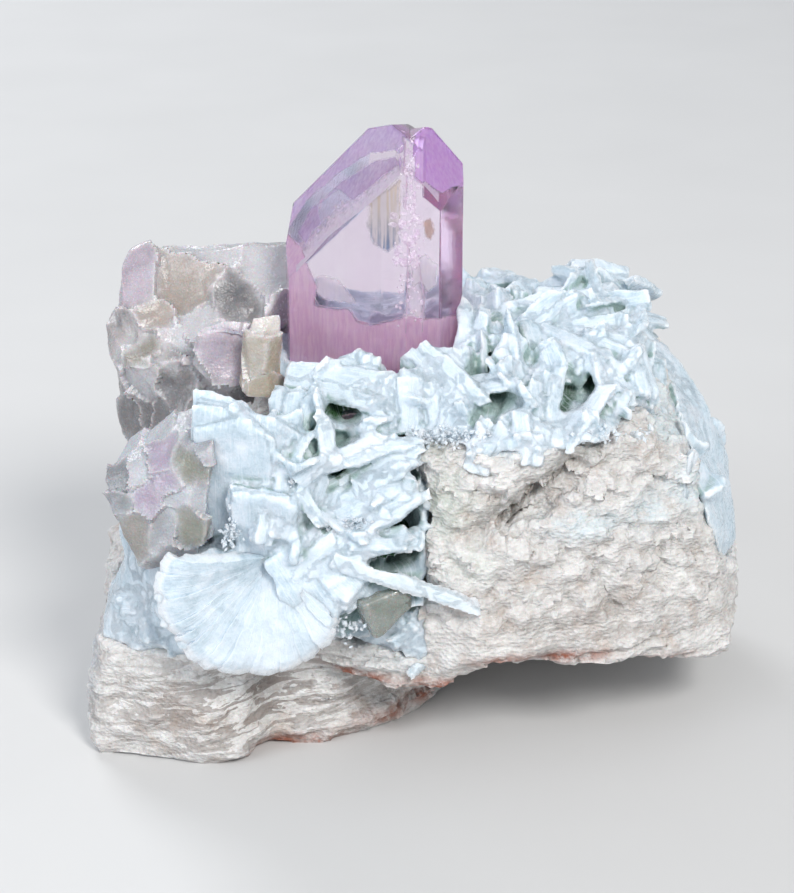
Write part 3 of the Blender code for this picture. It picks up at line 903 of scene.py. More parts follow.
class Shelter:
    """Finds how deep in a hollow a point lies, by looking out from it."""

    def __init__(self, rays: int, reach: float) -> None:
        """Gathers the whole specimen as it stands.

        Args:
            rays: How many directions each point looks in.
            reach: How far it looks, in millimetres.
        """
        points: list[Vector] = []
        faces: list[tuple[int, ...]] = []
        for node in frame["nodes"].values():
            start = len(points)
            points += [v.co.copy() for v in node.data.vertices]
            faces += [tuple(start + i for i in f.vertices) for f in node.data.polygons]
        self.tree = BVHTree.FromPolygons(points, faces)
        self.reach = reach * MM
        picker = random.Random(5)
        self.directions = []
        while len(self.directions) < rays:
            way = Vector([picker.uniform(-1, 1) for _ in range(3)])
            if 0.2 < way.length < 1.0:
                self.directions.append(way.normalized())

    def mark(self, piece: bpy.types.Object, lift: float = 0.9, alone: bool = False) -> np.ndarray:
        """Writes how sheltered each vertex is, as the attribute hollow.

        Args:
            piece: The object to mark.
            lift: How far above the surface it looks out from, in millimetres.
            alone: Whether only the object itself stands in the way.

        Returns:
            The numbers, one for each vertex.
        """
        points = points_of(piece)
        normals = normals_of(piece)
        values = np.zeros(len(points))
        tree = self.tree
        if alone:
            tree = BVHTree.FromPolygons(points.tolist(), [tuple(f.vertices) for f in piece.data.polygons])
        for index, (point, normal) in enumerate(zip(points, normals)):
            start = Vector(point + normal * lift * MM)
            facing = Vector(normal)
            hidden = 0.0
            for way in self.directions:
                look = way if way.dot(facing) > 0 else -way
                look = (look + facing * 0.6).normalized()
                met = tree.ray_cast(start, look, self.reach)
                if met[0] is not None:
                    hidden += 1.0 - 0.6 * met[3] / self.reach
            values[index] = hidden / len(self.directions)
        write_attribute(piece, "hollow", values)
        return values


def mark_bends(piece: bpy.types.Object, low: float = 0.06, high: float = 0.3) -> None:
    """Marks a surface's sharp edges, as the attribute edge, and its creases, as the attribute crease.

    Args:
        piece: The object to mark.
        low: The bend at which a mark starts.
        high: The bend at which it is full.
    """
    points, normals = points_of(piece), normals_of(piece)
    ends = np.empty(len(piece.data.edges) * 2, dtype=np.int64)
    piece.data.edges.foreach_get("vertices", ends)
    first, second = ends[0::2], ends[1::2]
    gap = points[second] - points[first]
    gap /= np.linalg.norm(gap, axis=1)[:, None] + 1e-12
    bend = np.zeros(len(points))
    count = np.full(len(points), 1e-6)
    np.add.at(bend, first, np.einsum("ij,ij->i", gap, normals[first]))
    np.add.at(bend, second, -np.einsum("ij,ij->i", gap, normals[second]))
    np.add.at(count, first, 1.0)
    np.add.at(count, second, 1.0)
    bend /= count
    around = np.zeros(len(points))
    np.add.at(around, first, bend[second])
    np.add.at(around, second, bend[first])
    bend = 0.6 * bend + 0.4 * around / count
    write_attribute(piece, "edge", np.clip((-bend - low) / (high - low), 0.0, 1.0))
    write_attribute(piece, "crease", np.clip((bend - low) / (high - low), 0.0, 1.0))


def melted(piece: bpy.types.Object, values: np.ndarray, rounds: int) -> np.ndarray:
    """Spreads each vertex's number over its neighbours.

    Args:
        piece: The object.
        values: One number for each vertex.
        rounds: How many times each takes the mean of its neighbours.

    Returns:
        The softened numbers.
    """
    ends = np.empty(len(piece.data.edges) * 2, dtype=np.int64)
    piece.data.edges.foreach_get("vertices", ends)
    first, second = ends[0::2], ends[1::2]
    count = np.bincount(ends, minlength=len(values)) + 1.0
    for _ in range(rounds):
        total = values + np.bincount(first, values[second], len(values)) + np.bincount(second, values[first], len(values))
        values = total / count
    return values


def roughen(
    piece: bpy.types.Object,
    kind: Relief,
    size: float,
    height: float,
    stretch: Point = (1, 1, 1),
    turn: Point = (0, 0, 0),
    middle: float = 0.5,
    group: str = "",
) -> None:
    """Raises relief on a surface.

    Args:
        piece: The object to change.
        kind: The kind of relief.
        size: The relief's size in millimetres.
        height: From its lowest to its highest, in millimetres.
        stretch: How much longer it is along each axis.
        turn: Its turn about each axis, in degrees.
        middle: The texture value that stays where it is.
        group: The vertex group that it is kept to, if any.
    """
    texture = bpy.data.textures.new("relief", "CLOUDS" if kind is Relief.STEPS else kind.value)
    texture.noise_scale = 1.0
    if kind is Relief.LUMPS:
        texture.noise_basis = "IMPROVED_PERLIN"
        texture.noise_depth = 3
    elif kind is Relief.STEPS:
        texture.noise_basis = "CELL_NOISE"
        texture.noise_depth = 0
    guide = bpy.data.objects.new("relief_guide", None)
    bpy.context.scene.collection.objects.link(guide)
    guide.scale = [size * MM * s for s in stretch]
    guide.rotation_euler = [math.radians(t) for t in turn]
    bpy.context.view_layer.update()
    finish_modifier(
        piece,
        "DISPLACE",
        texture=texture,
        texture_coords="OBJECT",
        texture_coords_object=guide,
        direction="NORMAL",
        strength=height * MM,
        mid_level=middle,
        vertex_group=group,
    )
    bpy.data.objects.remove(guide)
    bpy.data.textures.remove(texture)


def warp(piece: bpy.types.Object, size: float, reach: float) -> None:
    """Bends a surface to and fro, alike for every piece in the same place.

    Args:
        piece: The object to bend.
        size: How far apart the bends are, in millimetres.
        reach: How far a point moves at most.
    """
    texture = bpy.data.textures.new("warp", "CLOUDS")
    texture.noise_scale = 1.0
    texture.noise_basis = "IMPROVED_PERLIN"
    texture.noise_depth = 1
    texture.cloud_type = "COLOR"
    guide = bpy.data.objects.new("warp_guide", None)
    bpy.context.scene.collection.objects.link(guide)
    guide.scale = [size * MM] * 3
    bpy.context.view_layer.update()
    finish_modifier(
        piece,
        "DISPLACE",
        texture=texture,
        texture_coords="OBJECT",
        texture_coords_object=guide,
        direction="RGB_TO_XYZ",
        strength=2.0 * reach * MM,
        mid_level=0.5,
    )
    bpy.data.objects.remove(guide)
    bpy.data.textures.remove(texture)


def group_where(piece: bpy.types.Object, name: str, weigh: Callable[[np.ndarray], np.ndarray]) -> None:
    """Makes a vertex group from where each vertex is.

    Args:
        piece: The object to group.
        name: The group's name.
        weigh: Gives each point's weight from rows of x, y and z in millimetres.
    """
    group = piece.vertex_groups.new(name=name)
    weights = np.clip(weigh(points_of(piece) / MM), 0.0, 1.0)
    steps = np.round(weights * 20).astype(int)
    for step in range(1, 21):
        members = np.nonzero(steps == step)[0].tolist()
        if members:
            group.add(members, step / 20.0, "REPLACE")


def inset(places: np.ndarray, corners: np.ndarray) -> np.ndarray:
    """How far inside an outline each place is, below 0 outside it.

    Args:
        places: Rows of two numbers.
        corners: The outline's corners, as rows of two numbers.

    Returns:
        One distance for each place.
    """
    nearest = np.full(len(places), np.inf)
    inside = np.zeros(len(places), dtype=bool)
    for start, end in zip(corners, np.roll(corners, -1, axis=0)):
        along = end - start
        share = np.clip((places - start) @ along / (along @ along), 0.0, 1.0)
        nearest = np.minimum(nearest, np.linalg.norm(places - start - share[:, None] * along, axis=1))
        crosses = (start[1] > places[:, 1]) != (end[1] > places[:, 1])
        rise = along[1] if abs(along[1]) > 1e-9 else 1e-9
        inside ^= crosses & (places[:, 0] < start[0] + (places[:, 1] - start[1]) * along[0] / rise)
    return np.where(inside, nearest, -nearest)


def keep_outer_skin(piece: bpy.types.Object) -> None:
    """Drops the closed hollows inside a piece, which nothing shows.

    Args:
        piece: The piece.
    """
    pick(piece)
    bpy.ops.object.mode_set(mode="EDIT")
    bpy.ops.mesh.select_mode(type="VERT")
    bpy.ops.mesh.select_all(action="DESELECT")
    bpy.ops.object.mode_set(mode="OBJECT")
    foremost = int(np.argmin(points_of(piece)[:, 1]))
    piece.data.vertices[foremost].select = True
    bpy.ops.object.mode_set(mode="EDIT")
    bpy.ops.mesh.select_linked()
    bpy.ops.mesh.select_all(action="INVERT")
    bpy.ops.mesh.delete(type="VERT")
    bpy.ops.object.mode_set(mode="OBJECT")


def stand_flat(piece: bpy.types.Object) -> None:
    """Keeps a piece from reaching below the surface that the specimen stands on."""
    points = points_of(piece)
    points[:, 2] = np.maximum(points[:, 2], 0.0)
    place_points(piece, points)


# ---- the rock ----


@dataclass
class AlbiteRock:
    """The white rock under everything: granular above, layered in the foot."""

    node: str = "albite_matrix"
    voxel: float = 0.78
    ledge_top: float = 26.0
    finish: RockFinish = field(default_factory=RockFinish)

    def skin(self) -> bpy.types.Object:
        """Copies the rock and gives it an even skin.

        Returns:
            The rock, ready for its relief.
        """
        piece = copy_of_node(self.node, "albite_rock")
        finish_modifier(piece, "REMESH", mode="VOXEL", voxel_size=self.voxel * MM)
        return piece

    def carve(self, piece: bpy.types.Object) -> None:
        """Gives the rock its lumps, cleavage steps and layers.

        Args:
            piece: The rock.
        """
        top = self.ledge_top
        group_where(piece, "clear_of_ground", lambda p: (p[:, 2] - 0.4) / 1.6)
        group_where(
            piece,
            "layers",
            lambda p: np.clip((p[:, 2] - 0.6) / 2.0, 0, 1)
            * np.clip((top - p[:, 2]) / 6.0, 0, 1)
            * np.clip((p[:, 0] + 36.0) / 24.0, 0.3, 1),
        )
        group_where(piece, "upper", lambda p: (p[:, 2] - top + 4.0) / 8.0)
        ground = "clear_of_ground"
        finish_modifier(piece, "DISPLACE", strength=0.25 * MM, mid_level=0.0, vertex_group=ground)
        roughen(piece, Relief.LUMPS, 7.0, 3.0, middle=0.53, group=ground)
        roughen(piece, Relief.STEPS, 3.2, 1.5, (5.0, 5.0, 0.4), (5, -7, 0), 0.5, "layers")
        roughen(piece, Relief.LUMPS, 4.0, 2.2, (2.2, 2.2, 0.5), (6, -8, 0), 0.54, "layers")
        roughen(piece, Relief.STEPS, 3.4, 1.3, (1.2, 1.0, 0.7), (14, 22, 35), 0.5, "upper")
        roughen(piece, Relief.SCOOPS, 3.6, 1.7, (1.0, 1.0, 0.8), (0, 30, 0), 0.4, "upper")
        self.groove(piece)
        roughen(piece, Relief.LUMPS, 1.7, 1.1, (1.0, 1.0, 0.8), group=ground)
        stand_flat(piece)
        mark_bends(piece)

    def groove(self, piece: bpy.types.Object) -> None:
        """Cuts the slanting groove across the block's front.

        Args:
            piece: The rock.
        """
        points = points_of(piece) / MM
        start, end = np.array([13.5, 46.6]), np.array([34.0, 61.6])
        along = end - start
        flat = points[:, [0, 2]] - start
        share = np.clip(flat @ along / (along @ along), 0.0, 1.0)
        away = flat - share[:, None] * along
        side = (away[:, 1] * along[0] - away[:, 0] * along[1]) / np.linalg.norm(along)
        wide = np.where(side > 0.0, 3.4, 1.3)
        depth = 3.2 * np.exp(-((side / wide) ** 2)) * np.exp(-(np.linalg.norm(away, axis=1) / 5.0) ** 4)
        depth *= (points[:, 1] < -14.0) & (normals_of(piece)[:, 1] < 0.2)
        points[:, 1] += depth
        place_points(piece, points * MM)

    def colour(self, piece: bpy.types.Object, shelter: Shelter) -> None:
        """Marks the rock's hollows, stains and patches.

        Args:
            piece: The rock.
            shelter: What finds the hollows.
        """
        shelter.mark(piece, alone=True)
        paint(piece, "sage", [
            Spot((5, -31, 51), (8, 8, 9)),
            Spot((10, -31, 40), (7, 8, 6), 0.7),
            Spot((3, -30, 60), (7, 9, 4), 0.7),
            Spot((52, -12, 40), (5, 9, 8), 0.8),
            Spot((30, -25, 58), (10, 6, 4), 0.5),
            Spot((-8, -24, 22), (9, 8, 4), 0.6),
        ])
        # Painted shadow: grey along the slanting groove's shaded underside and where the foot curves under.
        paint(piece, "painted_shadow", [
            Spot((16, -29, 49.5), (7, 9, 4.0)),
            Spot((23, -26, 54.5), (7, 9, 3.6)),
            Spot((30, -24, 59), (6, 9, 3)),
            Spot((-3, -24, 15), (14, 12, 5), 1.2),
        ])
        # Blue-grey at the left and right ends, partly painted shade where the sides turn from the light and partly the
        # stone's own grey.
        paint(piece, "end_grey_and_shade", [
            Spot((-60, -20, 25), (6, 12, 26)),
            Spot((-60, 5, 15), (6, 26, 18)),
            Spot((59, 5, 35), (6, 25, 30), 0.7),
        ])
        paint(piece, "ice", [
            Spot((30, -27, 46), (10, 9, 4)),
            Spot((42, -25, 47), (8, 9, 6), 0.8),
            Spot((20, -30, 62), (10, 9, 4), 0.9),
            Spot((50, -18, 50), (9, 9, 8), 0.9),
            Spot((47, -10, 60), (8, 12, 9), 1.2),
            Spot((56, -5, 46), (6, 12, 14), 1.2),
            Spot((2, -32, 34), (6, 6, 3), 0.8),
            Spot((-3, -30, 20), (8, 6, 3), 0.7),
        ])
        paint(piece, "tan", [
            Spot((-35, -30, 12), (16, 12, 9), 0.3),
            Spot((-50, -26, 14), (8, 9, 10), 0.3),
            Spot((33, -28, 28), (12, 8, 7), 0.7),
            Spot((14, -32, 28), (10, 8, 6), 0.7),
        ])
        paint(piece, "seam", [
            Spot((-30, -26, 10), (34, 18, 14)),
            Spot((0, -15, 16), (16, 14, 12)),
            Spot((30, -26, 28), (26, 14, 9), 0.5),
        ])
        paint(piece, "rust", self.rust_spots())

    def rust_spots(self) -> list[Spot]:
        """Where the rock's lower edges are stained by iron."""
        return [
            Spot((-24, -24, 0.0), (9, 9, 3.0)),
            Spot((-17, -21, 0.0), (8, 8, 3.0)),
            Spot((-6, -16, 3.0), (9, 8, 2.4)),
            Spot((3.5, -12, 4.0), (7, 8, 2.6)),
            Spot((-10, -29, 16.8), (10, 7, 1.6)),
            Spot((4, -31, 16.0), (9, 7, 1.8)),
            Spot((16, -30, 21.5), (7, 7, 1.8)),
            Spot((28, -28, 20.5), (9, 7, 1.6)),
            Spot((44, -23, 17.0), (9, 7, 1.4)),
        ]

    def build(self, shelter: Shelter) -> bpy.types.Object:
        """Builds and dresses the rock.

        Args:
            shelter: What finds the hollows.

        Returns:
            The finished rock.
        """
        piece = self.skin()
        self.carve(piece)
        self.colour(piece, shelter)
        piece.vertex_groups.clear()
        smooth_by_angle(piece, 38.0)
        hand_over(piece, self.finish.make(), [self.node])
        return piece


# ---- the crust of blades ----


@dataclass
class BladePattern:
    """One blade shape, modelled once: a thin slab that tapers to a chipped tip, with a chamfered rim."""

    widths: Sequence[float]
    drifts: Sequence[float]
    tip_slant: float
    thickness: float = 0.16
    length: float = 2.0
    rim: float = 0.09
    swell: float = 0.05

    def model(self) -> tuple[np.ndarray, list[tuple[int, ...]]]:
        """Models the blade, its root at the origin and its tip at length up Z.

        Returns:
            The points and the faces.
        """
        deselect_all()
        step = self.length / len(self.widths)
        bpy.ops.mesh.primitive_cube_add(size=1.0, location=(0, 0, 0))
        piece = bpy.context.active_object
        bpy.ops.object.mode_set(mode="EDIT")
        bpy.ops.transform.resize(value=(self.widths[0], self.thickness, step))
        bpy.ops.transform.translate(value=(0, 0, step / 2))
        reach = self.widths[0]
        for width, drift in zip(self.widths[1:], self.drifts):
            self.pick_faces(piece, lambda n, c: n.z > 0.7)
            bpy.ops.mesh.extrude_region_move(TRANSFORM_OT_translate={"value": (drift, 0, step)})
            bpy.ops.transform.resize(value=(width / reach, 1, 1))
            reach = width
        self.pick_faces(piece, lambda n, c: n.z > 0.7)
        bpy.ops.transform.rotate(
            value=math.radians(self.tip_slant), orient_axis="Y", center_override=(0, 0, self.length)
        )
        for side in (1, -1):
            self.pick_faces(piece, lambda n, c, s=side: n.y * s > 0.7)
            bpy.ops.mesh.inset(thickness=self.rim, depth=self.swell)
        bpy.ops.object.mode_set(mode="OBJECT")
        points = points_of(piece)
        faces = [tuple(f.vertices) for f in piece.data.polygons]
        bpy.data.objects.remove(piece, do_unlink=True)
        return points, faces

    @staticmethod
    def pick_faces(piece: bpy.types.Object, wanted: Callable[[Vector, Vector], bool]) -> None:
        """Selects the faces that a test wants, in edit mode.

        Args:
            piece: The object that is being modelled.
            wanted: The test, on a face's normal and middle.
        """
        bpy.ops.mesh.select_all(action="DESELECT")
        bpy.ops.object.mode_set(mode="OBJECT")
        for face in piece.data.polygons:
            face.select = wanted(face.normal, face.center)
        bpy.ops.object.mode_set(mode="EDIT")
        bpy.ops.mesh.select_mode(type="FACE")


@dataclass(frozen=True)
class Lie:
    """How one blade lies: its root, the ways of its width and its length, its grain's shift and its tone."""

    root: np.ndarray
    side: np.ndarray
    up: np.ndarray
    shift: float
    tone: float


@dataclass
class BladeBed:
    """Gathers many copies of a few blade shapes into one mesh."""

    name: str
    patterns: list[tuple[np.ndarray, list[tuple[int, ...]]]]
    seed: int

    def __post_init__(self) -> None:
        """Starts with no blades."""
        self.picker = random.Random(self.seed)
        self.points: list[np.ndarray] = []
        self.faces: list[tuple[int, ...]] = []
        self.lies: list[Lie] = []
        self.owners: list[int] = []
        self.count = 0

    def add(
        self, root: Vector, tip: Vector, width: float, thickness: float, face: Vector, bend: float, tone: float
    ) -> None:
        """Adds one blade.

        Args:
            root: Where it starts, in millimetres.
            tip: Where it ends.
            width: Its width.
            thickness: Its thickness.
            face: The way that its broad face looks.
            bend: How far its tip bends towards that face.
            tone: How white it is.
        """
        points, faces = self.picker.choice(self.patterns)
        along = tip - root
        length = along.length
        up = along.normalized()
        side = up.cross(face)
        if side.length < 0.05:
            side = up.cross(Vector((0.3, 0.2, 0.9)))
        side.normalize()
        out = side.cross(up)
        local = points.copy()
        if self.picker.random() < 0.5:
            local[:, :2] *= -1.0
        share = local[:, 2] / 2.0
        x = local[:, 0] * width
        y = local[:, 1] * thickness / 0.26 + bend * share * share
        z = share * length
        placed = (
            np.outer(x, np.array(side)) + np.outer(y, np.array(out)) + np.outer(z, np.array(up)) + np.array(root)
        )
        start = self.count
        self.points.append(placed * MM)
        self.faces += [tuple(start + i for i in f) for f in faces]
        self.owners += [len(self.lies)] * len(faces)
        self.lies.append(Lie(np.array(root), np.array(side), np.array(up), self.picker.uniform(0, 50), tone))
        self.count += len(points)

    def book(
        self,
        root: Vector,
        tip: Vector,
        width: float,
        thickness: float,
        face: Vector,
        tone: float,
        leaves: int = 3,
        uneven: float = 0.5,
    ) -> None:
        """Adds a book of parallel leaves that lie on one another.

        Args:
            root: Where it starts, in millimetres.
            tip: Where its longest leaf ends.
            width: Its width.
            thickness: The whole book's thickness.
            face: The way that its broad face looks.
            tone: How white it is.
            leaves: How many leaves it has.
            uneven: How far the leaves slide from one another, in millimetres.
        """
        out = face.normalized()
        way = (tip - root).normalized()
        side = way.cross(out)
        for leaf in range(leaves):
            share = leaf / max(1, leaves - 1)
            lift = out * thickness * (share - 0.5) * 0.75
            slide = side * self.picker.uniform(-uneven, uneven)
            short = 1.0 - 0.1 * share - self.picker.uniform(0.0, 0.06)
            self.add(
                root + lift + slide,
                root + lift + slide + (tip - root) * short,
                width * (1.0 - 0.14 * share) * self.picker.uniform(0.9, 1.0),
                thickness / leaves * 1.3,
                out + side * self.picker.uniform(-0.12, 0.12),
                self.picker.uniform(-0.5, 0.3),
                min(1.0, tone + 0.18 * share),
            )

    def spray(
        self, root: Vector, tip: Vector, width: float, thickness: float, face: Vector, tone: float, lath: float = 3.0
    ) -> None:
        """Adds a spray of narrow books, side by side, that spread a little from one root.

        Args:
            root: Where it starts, in millimetres.
            tip: Where its middle ends.
            width: Its width.
            thickness: Its thickness.
            face: The way that its broad face looks.
            tone: How white it is.
            lath: How wide one of its books is.
        """
        out = face.normalized()
        side = (tip - root).cross(out).normalized()
        count = max(1, round(width / lath))
        for index in range(count):
            share = (index + 0.5) / count - 0.5
            start = root + side * share * width * 0.7 + out * self.picker.uniform(-0.5, 0.4)
            end = tip + side * share * width * 1.3
            self.book(
                start,
                start + (end - start) * self.picker.uniform(0.74, 1.05),
                width / count * self.picker.uniform(1.0, 1.35),
                thickness * self.picker.uniform(0.7, 1.0),
                out + side * self.picker.uniform(-0.3, 0.3),
                tone * self.picker.uniform(0.4, 1.0),
                3,
                0.35,
            )

    def make(self) -> bpy.types.Object:
        """Makes the gathered blades one object.

        Returns:
            The new object.
        """
        piece = mesh_piece(self.name, np.concatenate(self.points), self.faces)
        pick(piece)
        bpy.ops.object.mode_set(mode="EDIT")
        bpy.ops.mesh.select_all(action="SELECT")
        bpy.ops.mesh.normals_make_consistent(inside=False)
        bpy.ops.mesh.subdivide(number_cuts=2)
        bpy.ops.object.mode_set(mode="OBJECT")
        return piece

    def comb(self, piece: bpy.types.Object, near: float = 1.3) -> None:
        """Gives a surface the grain and the tone of the blades that it is made of.

        Args:
            piece: The piece that the blades have become a part of.
            near: How near a blade a place has to be to take its grain, in millimetres.
        """
        points = points_of(piece) / MM
        tree = BVHTree.FromPolygons((np.concatenate(self.points) / MM).tolist(), self.faces)
        grain = np.stack([points[:, 0] + 0.4 * points[:, 1], points[:, 2]], axis=1)
        tone = np.full(len(points), 0.25)
        for index, place in enumerate(points):
            face = tree.find_nearest(Vector(place), near)[2]
            if face is not None:
                lie = self.lies[self.owners[face]]
                away = place - lie.root
                grain[index] = (away @ lie.side + lie.shift, away @ lie.up + lie.shift)
                tone[index] = lie.tone
        write_map(piece, "grain", grain)
        write_attribute(piece, "tone", tone)


@dataclass
class Pit:
    """An open hollow of the crust: its middle as x and z, its half width and height, its depth, and how dark the
    painted shade in it is.
    """

    x: float
    z: float
    wide: float
    high: float
    deep: float
    dark: float = 1.0

    def amount(self, points: np.ndarray) -> np.ndarray:
        """How deep in the hollow each point is, from 0 to 1.

        Args:
            points: Rows of x, y and z in millimetres.

        Returns:
            One number for each point.
        """
        away = np.hypot((points[:, 0] - self.x) / self.wide, (points[:, 2] - self.z) / self.high)
        share = np.clip((1.35 - away) / 0.7, 0.0, 1.0)
        return share * share * (3.0 - 2.0 * share) * (points[:, 1] < -8.0)


@dataclass
class BladedCrust:
    """The crust of bladed albite: its body, the books of leaves that lie on it and the fan at its foot."""

    node: str = "cleavelandite_blades"
    voxel: float = 0.5
    most_triangles: int = 190000
    melt: int = 5
    book_count: int = 120
    fine_count: int = 200
    seam_count: int = 100
    finish: BladeFinish = field(default_factory=BladeFinish)
    pits: list[Pit] = field(default_factory=lambda: [
        Pit(-3.2, 41.8, 3.8, 1.9, 9.0),
        Pit(-0.6, 33.4, 2.2, 2.1, 8.0),
        Pit(-28.5, 36.0, 8.0, 6.0, 2.0, 0.0),
        Pit(-12.8, 64.6, 3.4, 1.5, 4.5, 0.55),
        Pit(-1.2, 60.2, 2.0, 1.2, 4.0, 0.8),
        Pit(-12.0, 55.4, 1.5, 1.8, 4.0, 0.5),
        Pit(-0.8, 54.6, 2.6, 1.0, 3.0, 0.4),
        Pit(14.5, 67.0, 2.2, 1.5, 3.5, 0.4),
        Pit(26.8, 65.4, 2.6, 1.6, 3.5, 0.4),
        Pit(33.0, 66.4, 2.2, 1.5, 3.5, 0.4),
        Pit(42.0, 63.0, 3.0, 1.6, 2.5, 0.3),
    ])
    # Each book: its root, its tip, its width, its thickness, the way that it faces and how white it is.
    books: list[tuple] = field(default_factory=lambda: [
        ((-19.9, -17, 69.4), (-2.4, -22.5, 68.1), 7.0, 2.0, (0.15, -0.75, 0.6), 0.6),
        ((-1.9, -22, 64.5), (-1.9, -19, 73.3), 7.0, 2.0, (0.15, -1, 0.35), 0.7),
        ((2.1, -21, 65.2), (1.1, -18, 72.0), 5.0, 1.8, (-0.5, -1, 0.3), 0.5),
        ((6.5, -22, 64.5), (6.0, -19, 70.8), 8.0, 2.2, (-0.15, -1, 0.4), 0.6),
        ((-14.2, -31, 59.5), (-16.4, -27.5, 70.0), 3.8, 1.8, (0.25, -1, 0.2), 0.8),
        ((-21.2, -25, 63.8), (-20.1, -20.5, 69.9), 8.0, 2.4, (-0.3, -1, 0.3), 0.1),
        ((-15.9, -31, 58.5), (1.2, -26.5, 63.3), 4.6, 1.7, (-0.1, -0.8, 0.6), 0.8),
        ((-12.7, -28.5, 53.9), (2.3, -28, 62.5), 4.4, 1.6, (0.1, -0.75, 0.6), 0.5),
        ((-12.3, -31, 50.4), (3.3, -29.5, 58.7), 7.0, 2.0, (-0.3, -0.8, 0.5), 0.3),
        ((-7.6, -33.5, 47.7), (2.4, -30.5, 54.2), 4.6, 1.6, (-0.3, -0.75, 0.6), 0.6),
        ((-8.3, -34, 43.4), (2.4, -32, 48.2), 3.4, 1.4, (0.0, -0.7, 0.7), 0.3),
        ((-22.8, -34, 49.1), (-19.0, -29.5, 64.8), 6.0, 2.6, (0.5, -0.9, 0.2), 0.9),
        ((-19.5, -32.5, 47.3), (-16.0, -31, 61.0), 5.0, 2.4, (0.6, -0.8, 0.1), 0.8),
        ((-25.2, -35, 48.0), (-22.0, -33, 58.8), 4.6, 2.2, (0.3, -0.9, 0.2), 0.7),
        ((-16.3, -34.5, 42.1), (-5.9, -34, 46.8), 5.6, 2.2, (0.0, -0.75, 0.65), 0.9),
        ((-20.2, -34.5, 41.7), (-13.5, -34, 48.0), 5.6, 2.2, (-0.2, -0.8, 0.5), 0.9),
        ((-11.6, -36.6, 42.2), (13.2, -34.2, 32.2), 2.6, 1.3, (0.15, -0.8, 0.6), 0.8),
        ((-9.0, -35.5, 45.2), (2.3, -33.6, 44.9), 2.8, 1.6, (0.0, -0.75, 0.65), 0.6),
        ((10.5, -8.5, 70.0), (11.8, -3, 79.5), 6.4, 2.0, (-0.2, -1, 0.25), 0.6),
        ((14.8, 1, 69.1), (15.8, 8.5, 80.1), 5.0, 1.8, (0.3, -1, 0.2), 0.7),
        ((13.0, -3, 69.2), (13.8, 4, 79.5), 6.0, 1.8, (-0.3, -1, 0.25), 0.5),
        ((26.2, -3.5, 73.2), (42.0, -3, 75.7), 9.5, 2.6, (0.05, -0.7, 0.75), 0.4),
        ((25.4, 4, 76.4), (41.0, 2.5, 77.3), 9.0, 2.6, (0.05, -0.45, 0.9), 0.5),
        ((16.1, -1.5, 73.8), (26.6, -0.5, 76.0), 8.5, 2.4, (0.0, -0.7, 0.8), 0.4),
        ((22.8, -5, 73.9), (33.6, -16.5, 70.5), 6.4, 1.9, (-0.1, -0.75, 0.7), 0.7),
        ((28.7, -3, 73.8), (34.8, -14.5, 70.5), 6.6, 1.9, (0.2, -0.7, 0.7), 0.5),
        ((33.9, -14, 71.3), (38.1, -20.5, 61.6), 5.4, 1.9, (0.4, -0.8, 0.55), 0.7),
        ((16.9, -22, 64.5), (21.4, -12.5, 71.3), 4.4, 1.8, (-0.5, -0.8, 0.3), 0.7),
        ((23.5, -22, 65.2), (23.4, -16.5, 73.3), 6.0, 1.9, (0.3, -0.9, 0.35), 0.6),
        ((2.7, -15.5, 72.7), (12.4, -24, 65.5), 5.0, 1.9, (-0.15, -0.75, 0.7), 0.8),
        ((9.7, -18, 68.0), (19.2, -21.5, 71.4), 4.6, 1.7, (0.0, -0.6, 0.8), 0.5),
        ((28.4, -25.5, 62.5), (35.9, -16.5, 69.0), 3.8, 1.8, (-0.5, -0.8, 0.4), 0.9),
        ((6.7, -24.5, 62.1), (10.3, -21.5, 68.0), 5.2, 1.8, (0.2, -0.9, 0.4), 0.5),
        ((12.3, -28.6, 58.8), (15.6, -24.5, 67.5), 7.0, 2.6, (-0.1, -1, 0.35), 0.9),
        ((20.4, -28.6, 60.0), (20.6, -24.5, 67.0), 6.0, 2.6, (0.15, -1, 0.4), 0.9),
        ((40.7, -12, 70.0), (42.7, -16, 62.5), 5.0, 2.0, (0.7, -0.6, 0.5), 0.4),
        ((33.0, -8, 73.3), (40.9, -9, 71.3), 5.0, 2.0, (0.3, -0.7, 0.7), 0.5),
    ])
    # The broad smooth plates, in the same way.
    plates: list[tuple] = field(default_factory=lambda: [
        ((-31.0, -27.6, 44.0), (-30.6, -33.0, 71.3), 15.5, 5.5, (-0.25, -1.0, 0.2), 0.1),
        ((-23.6, -28.0, 44.0), (-23.4, -31.6, 68.3), 10.0, 4.5, (0.25, -1.0, 0.25), 0.15),
        ((-25.4, -30.0, 40.0), (-25.8, -36.4, 57.0), 12.0, 3.4, (-0.1, -1.0, 0.35), 0.25),
        ((-21.5, -31.5, 44.0), (-12.6, -35.2, 31.0), 13.5, 6.0, (-0.1, -1.0, 0.3), 0.15),
        ((-15.5, -33.0, 43.5), (-7.8, -35.6, 36.0), 9.0, 4.0, (0.1, -0.9, 0.5), 0.45),
    ])

    def body(self) -> bpy.types.Object:
        """Builds the crust's body from its CAD node.

        Returns:
            The crust's body.
        """
        piece = copy_of_node(self.node, "cleavelandite_crust")
        finish_modifier(piece, "REMESH", mode="VOXEL", voxel_size=0.62 * MM)
        finish_modifier(piece, "SMOOTH", factor=0.5, iterations=self.melt)
        self.open_pits(piece)
        warp(piece, 6.5, 0.9)
        return piece

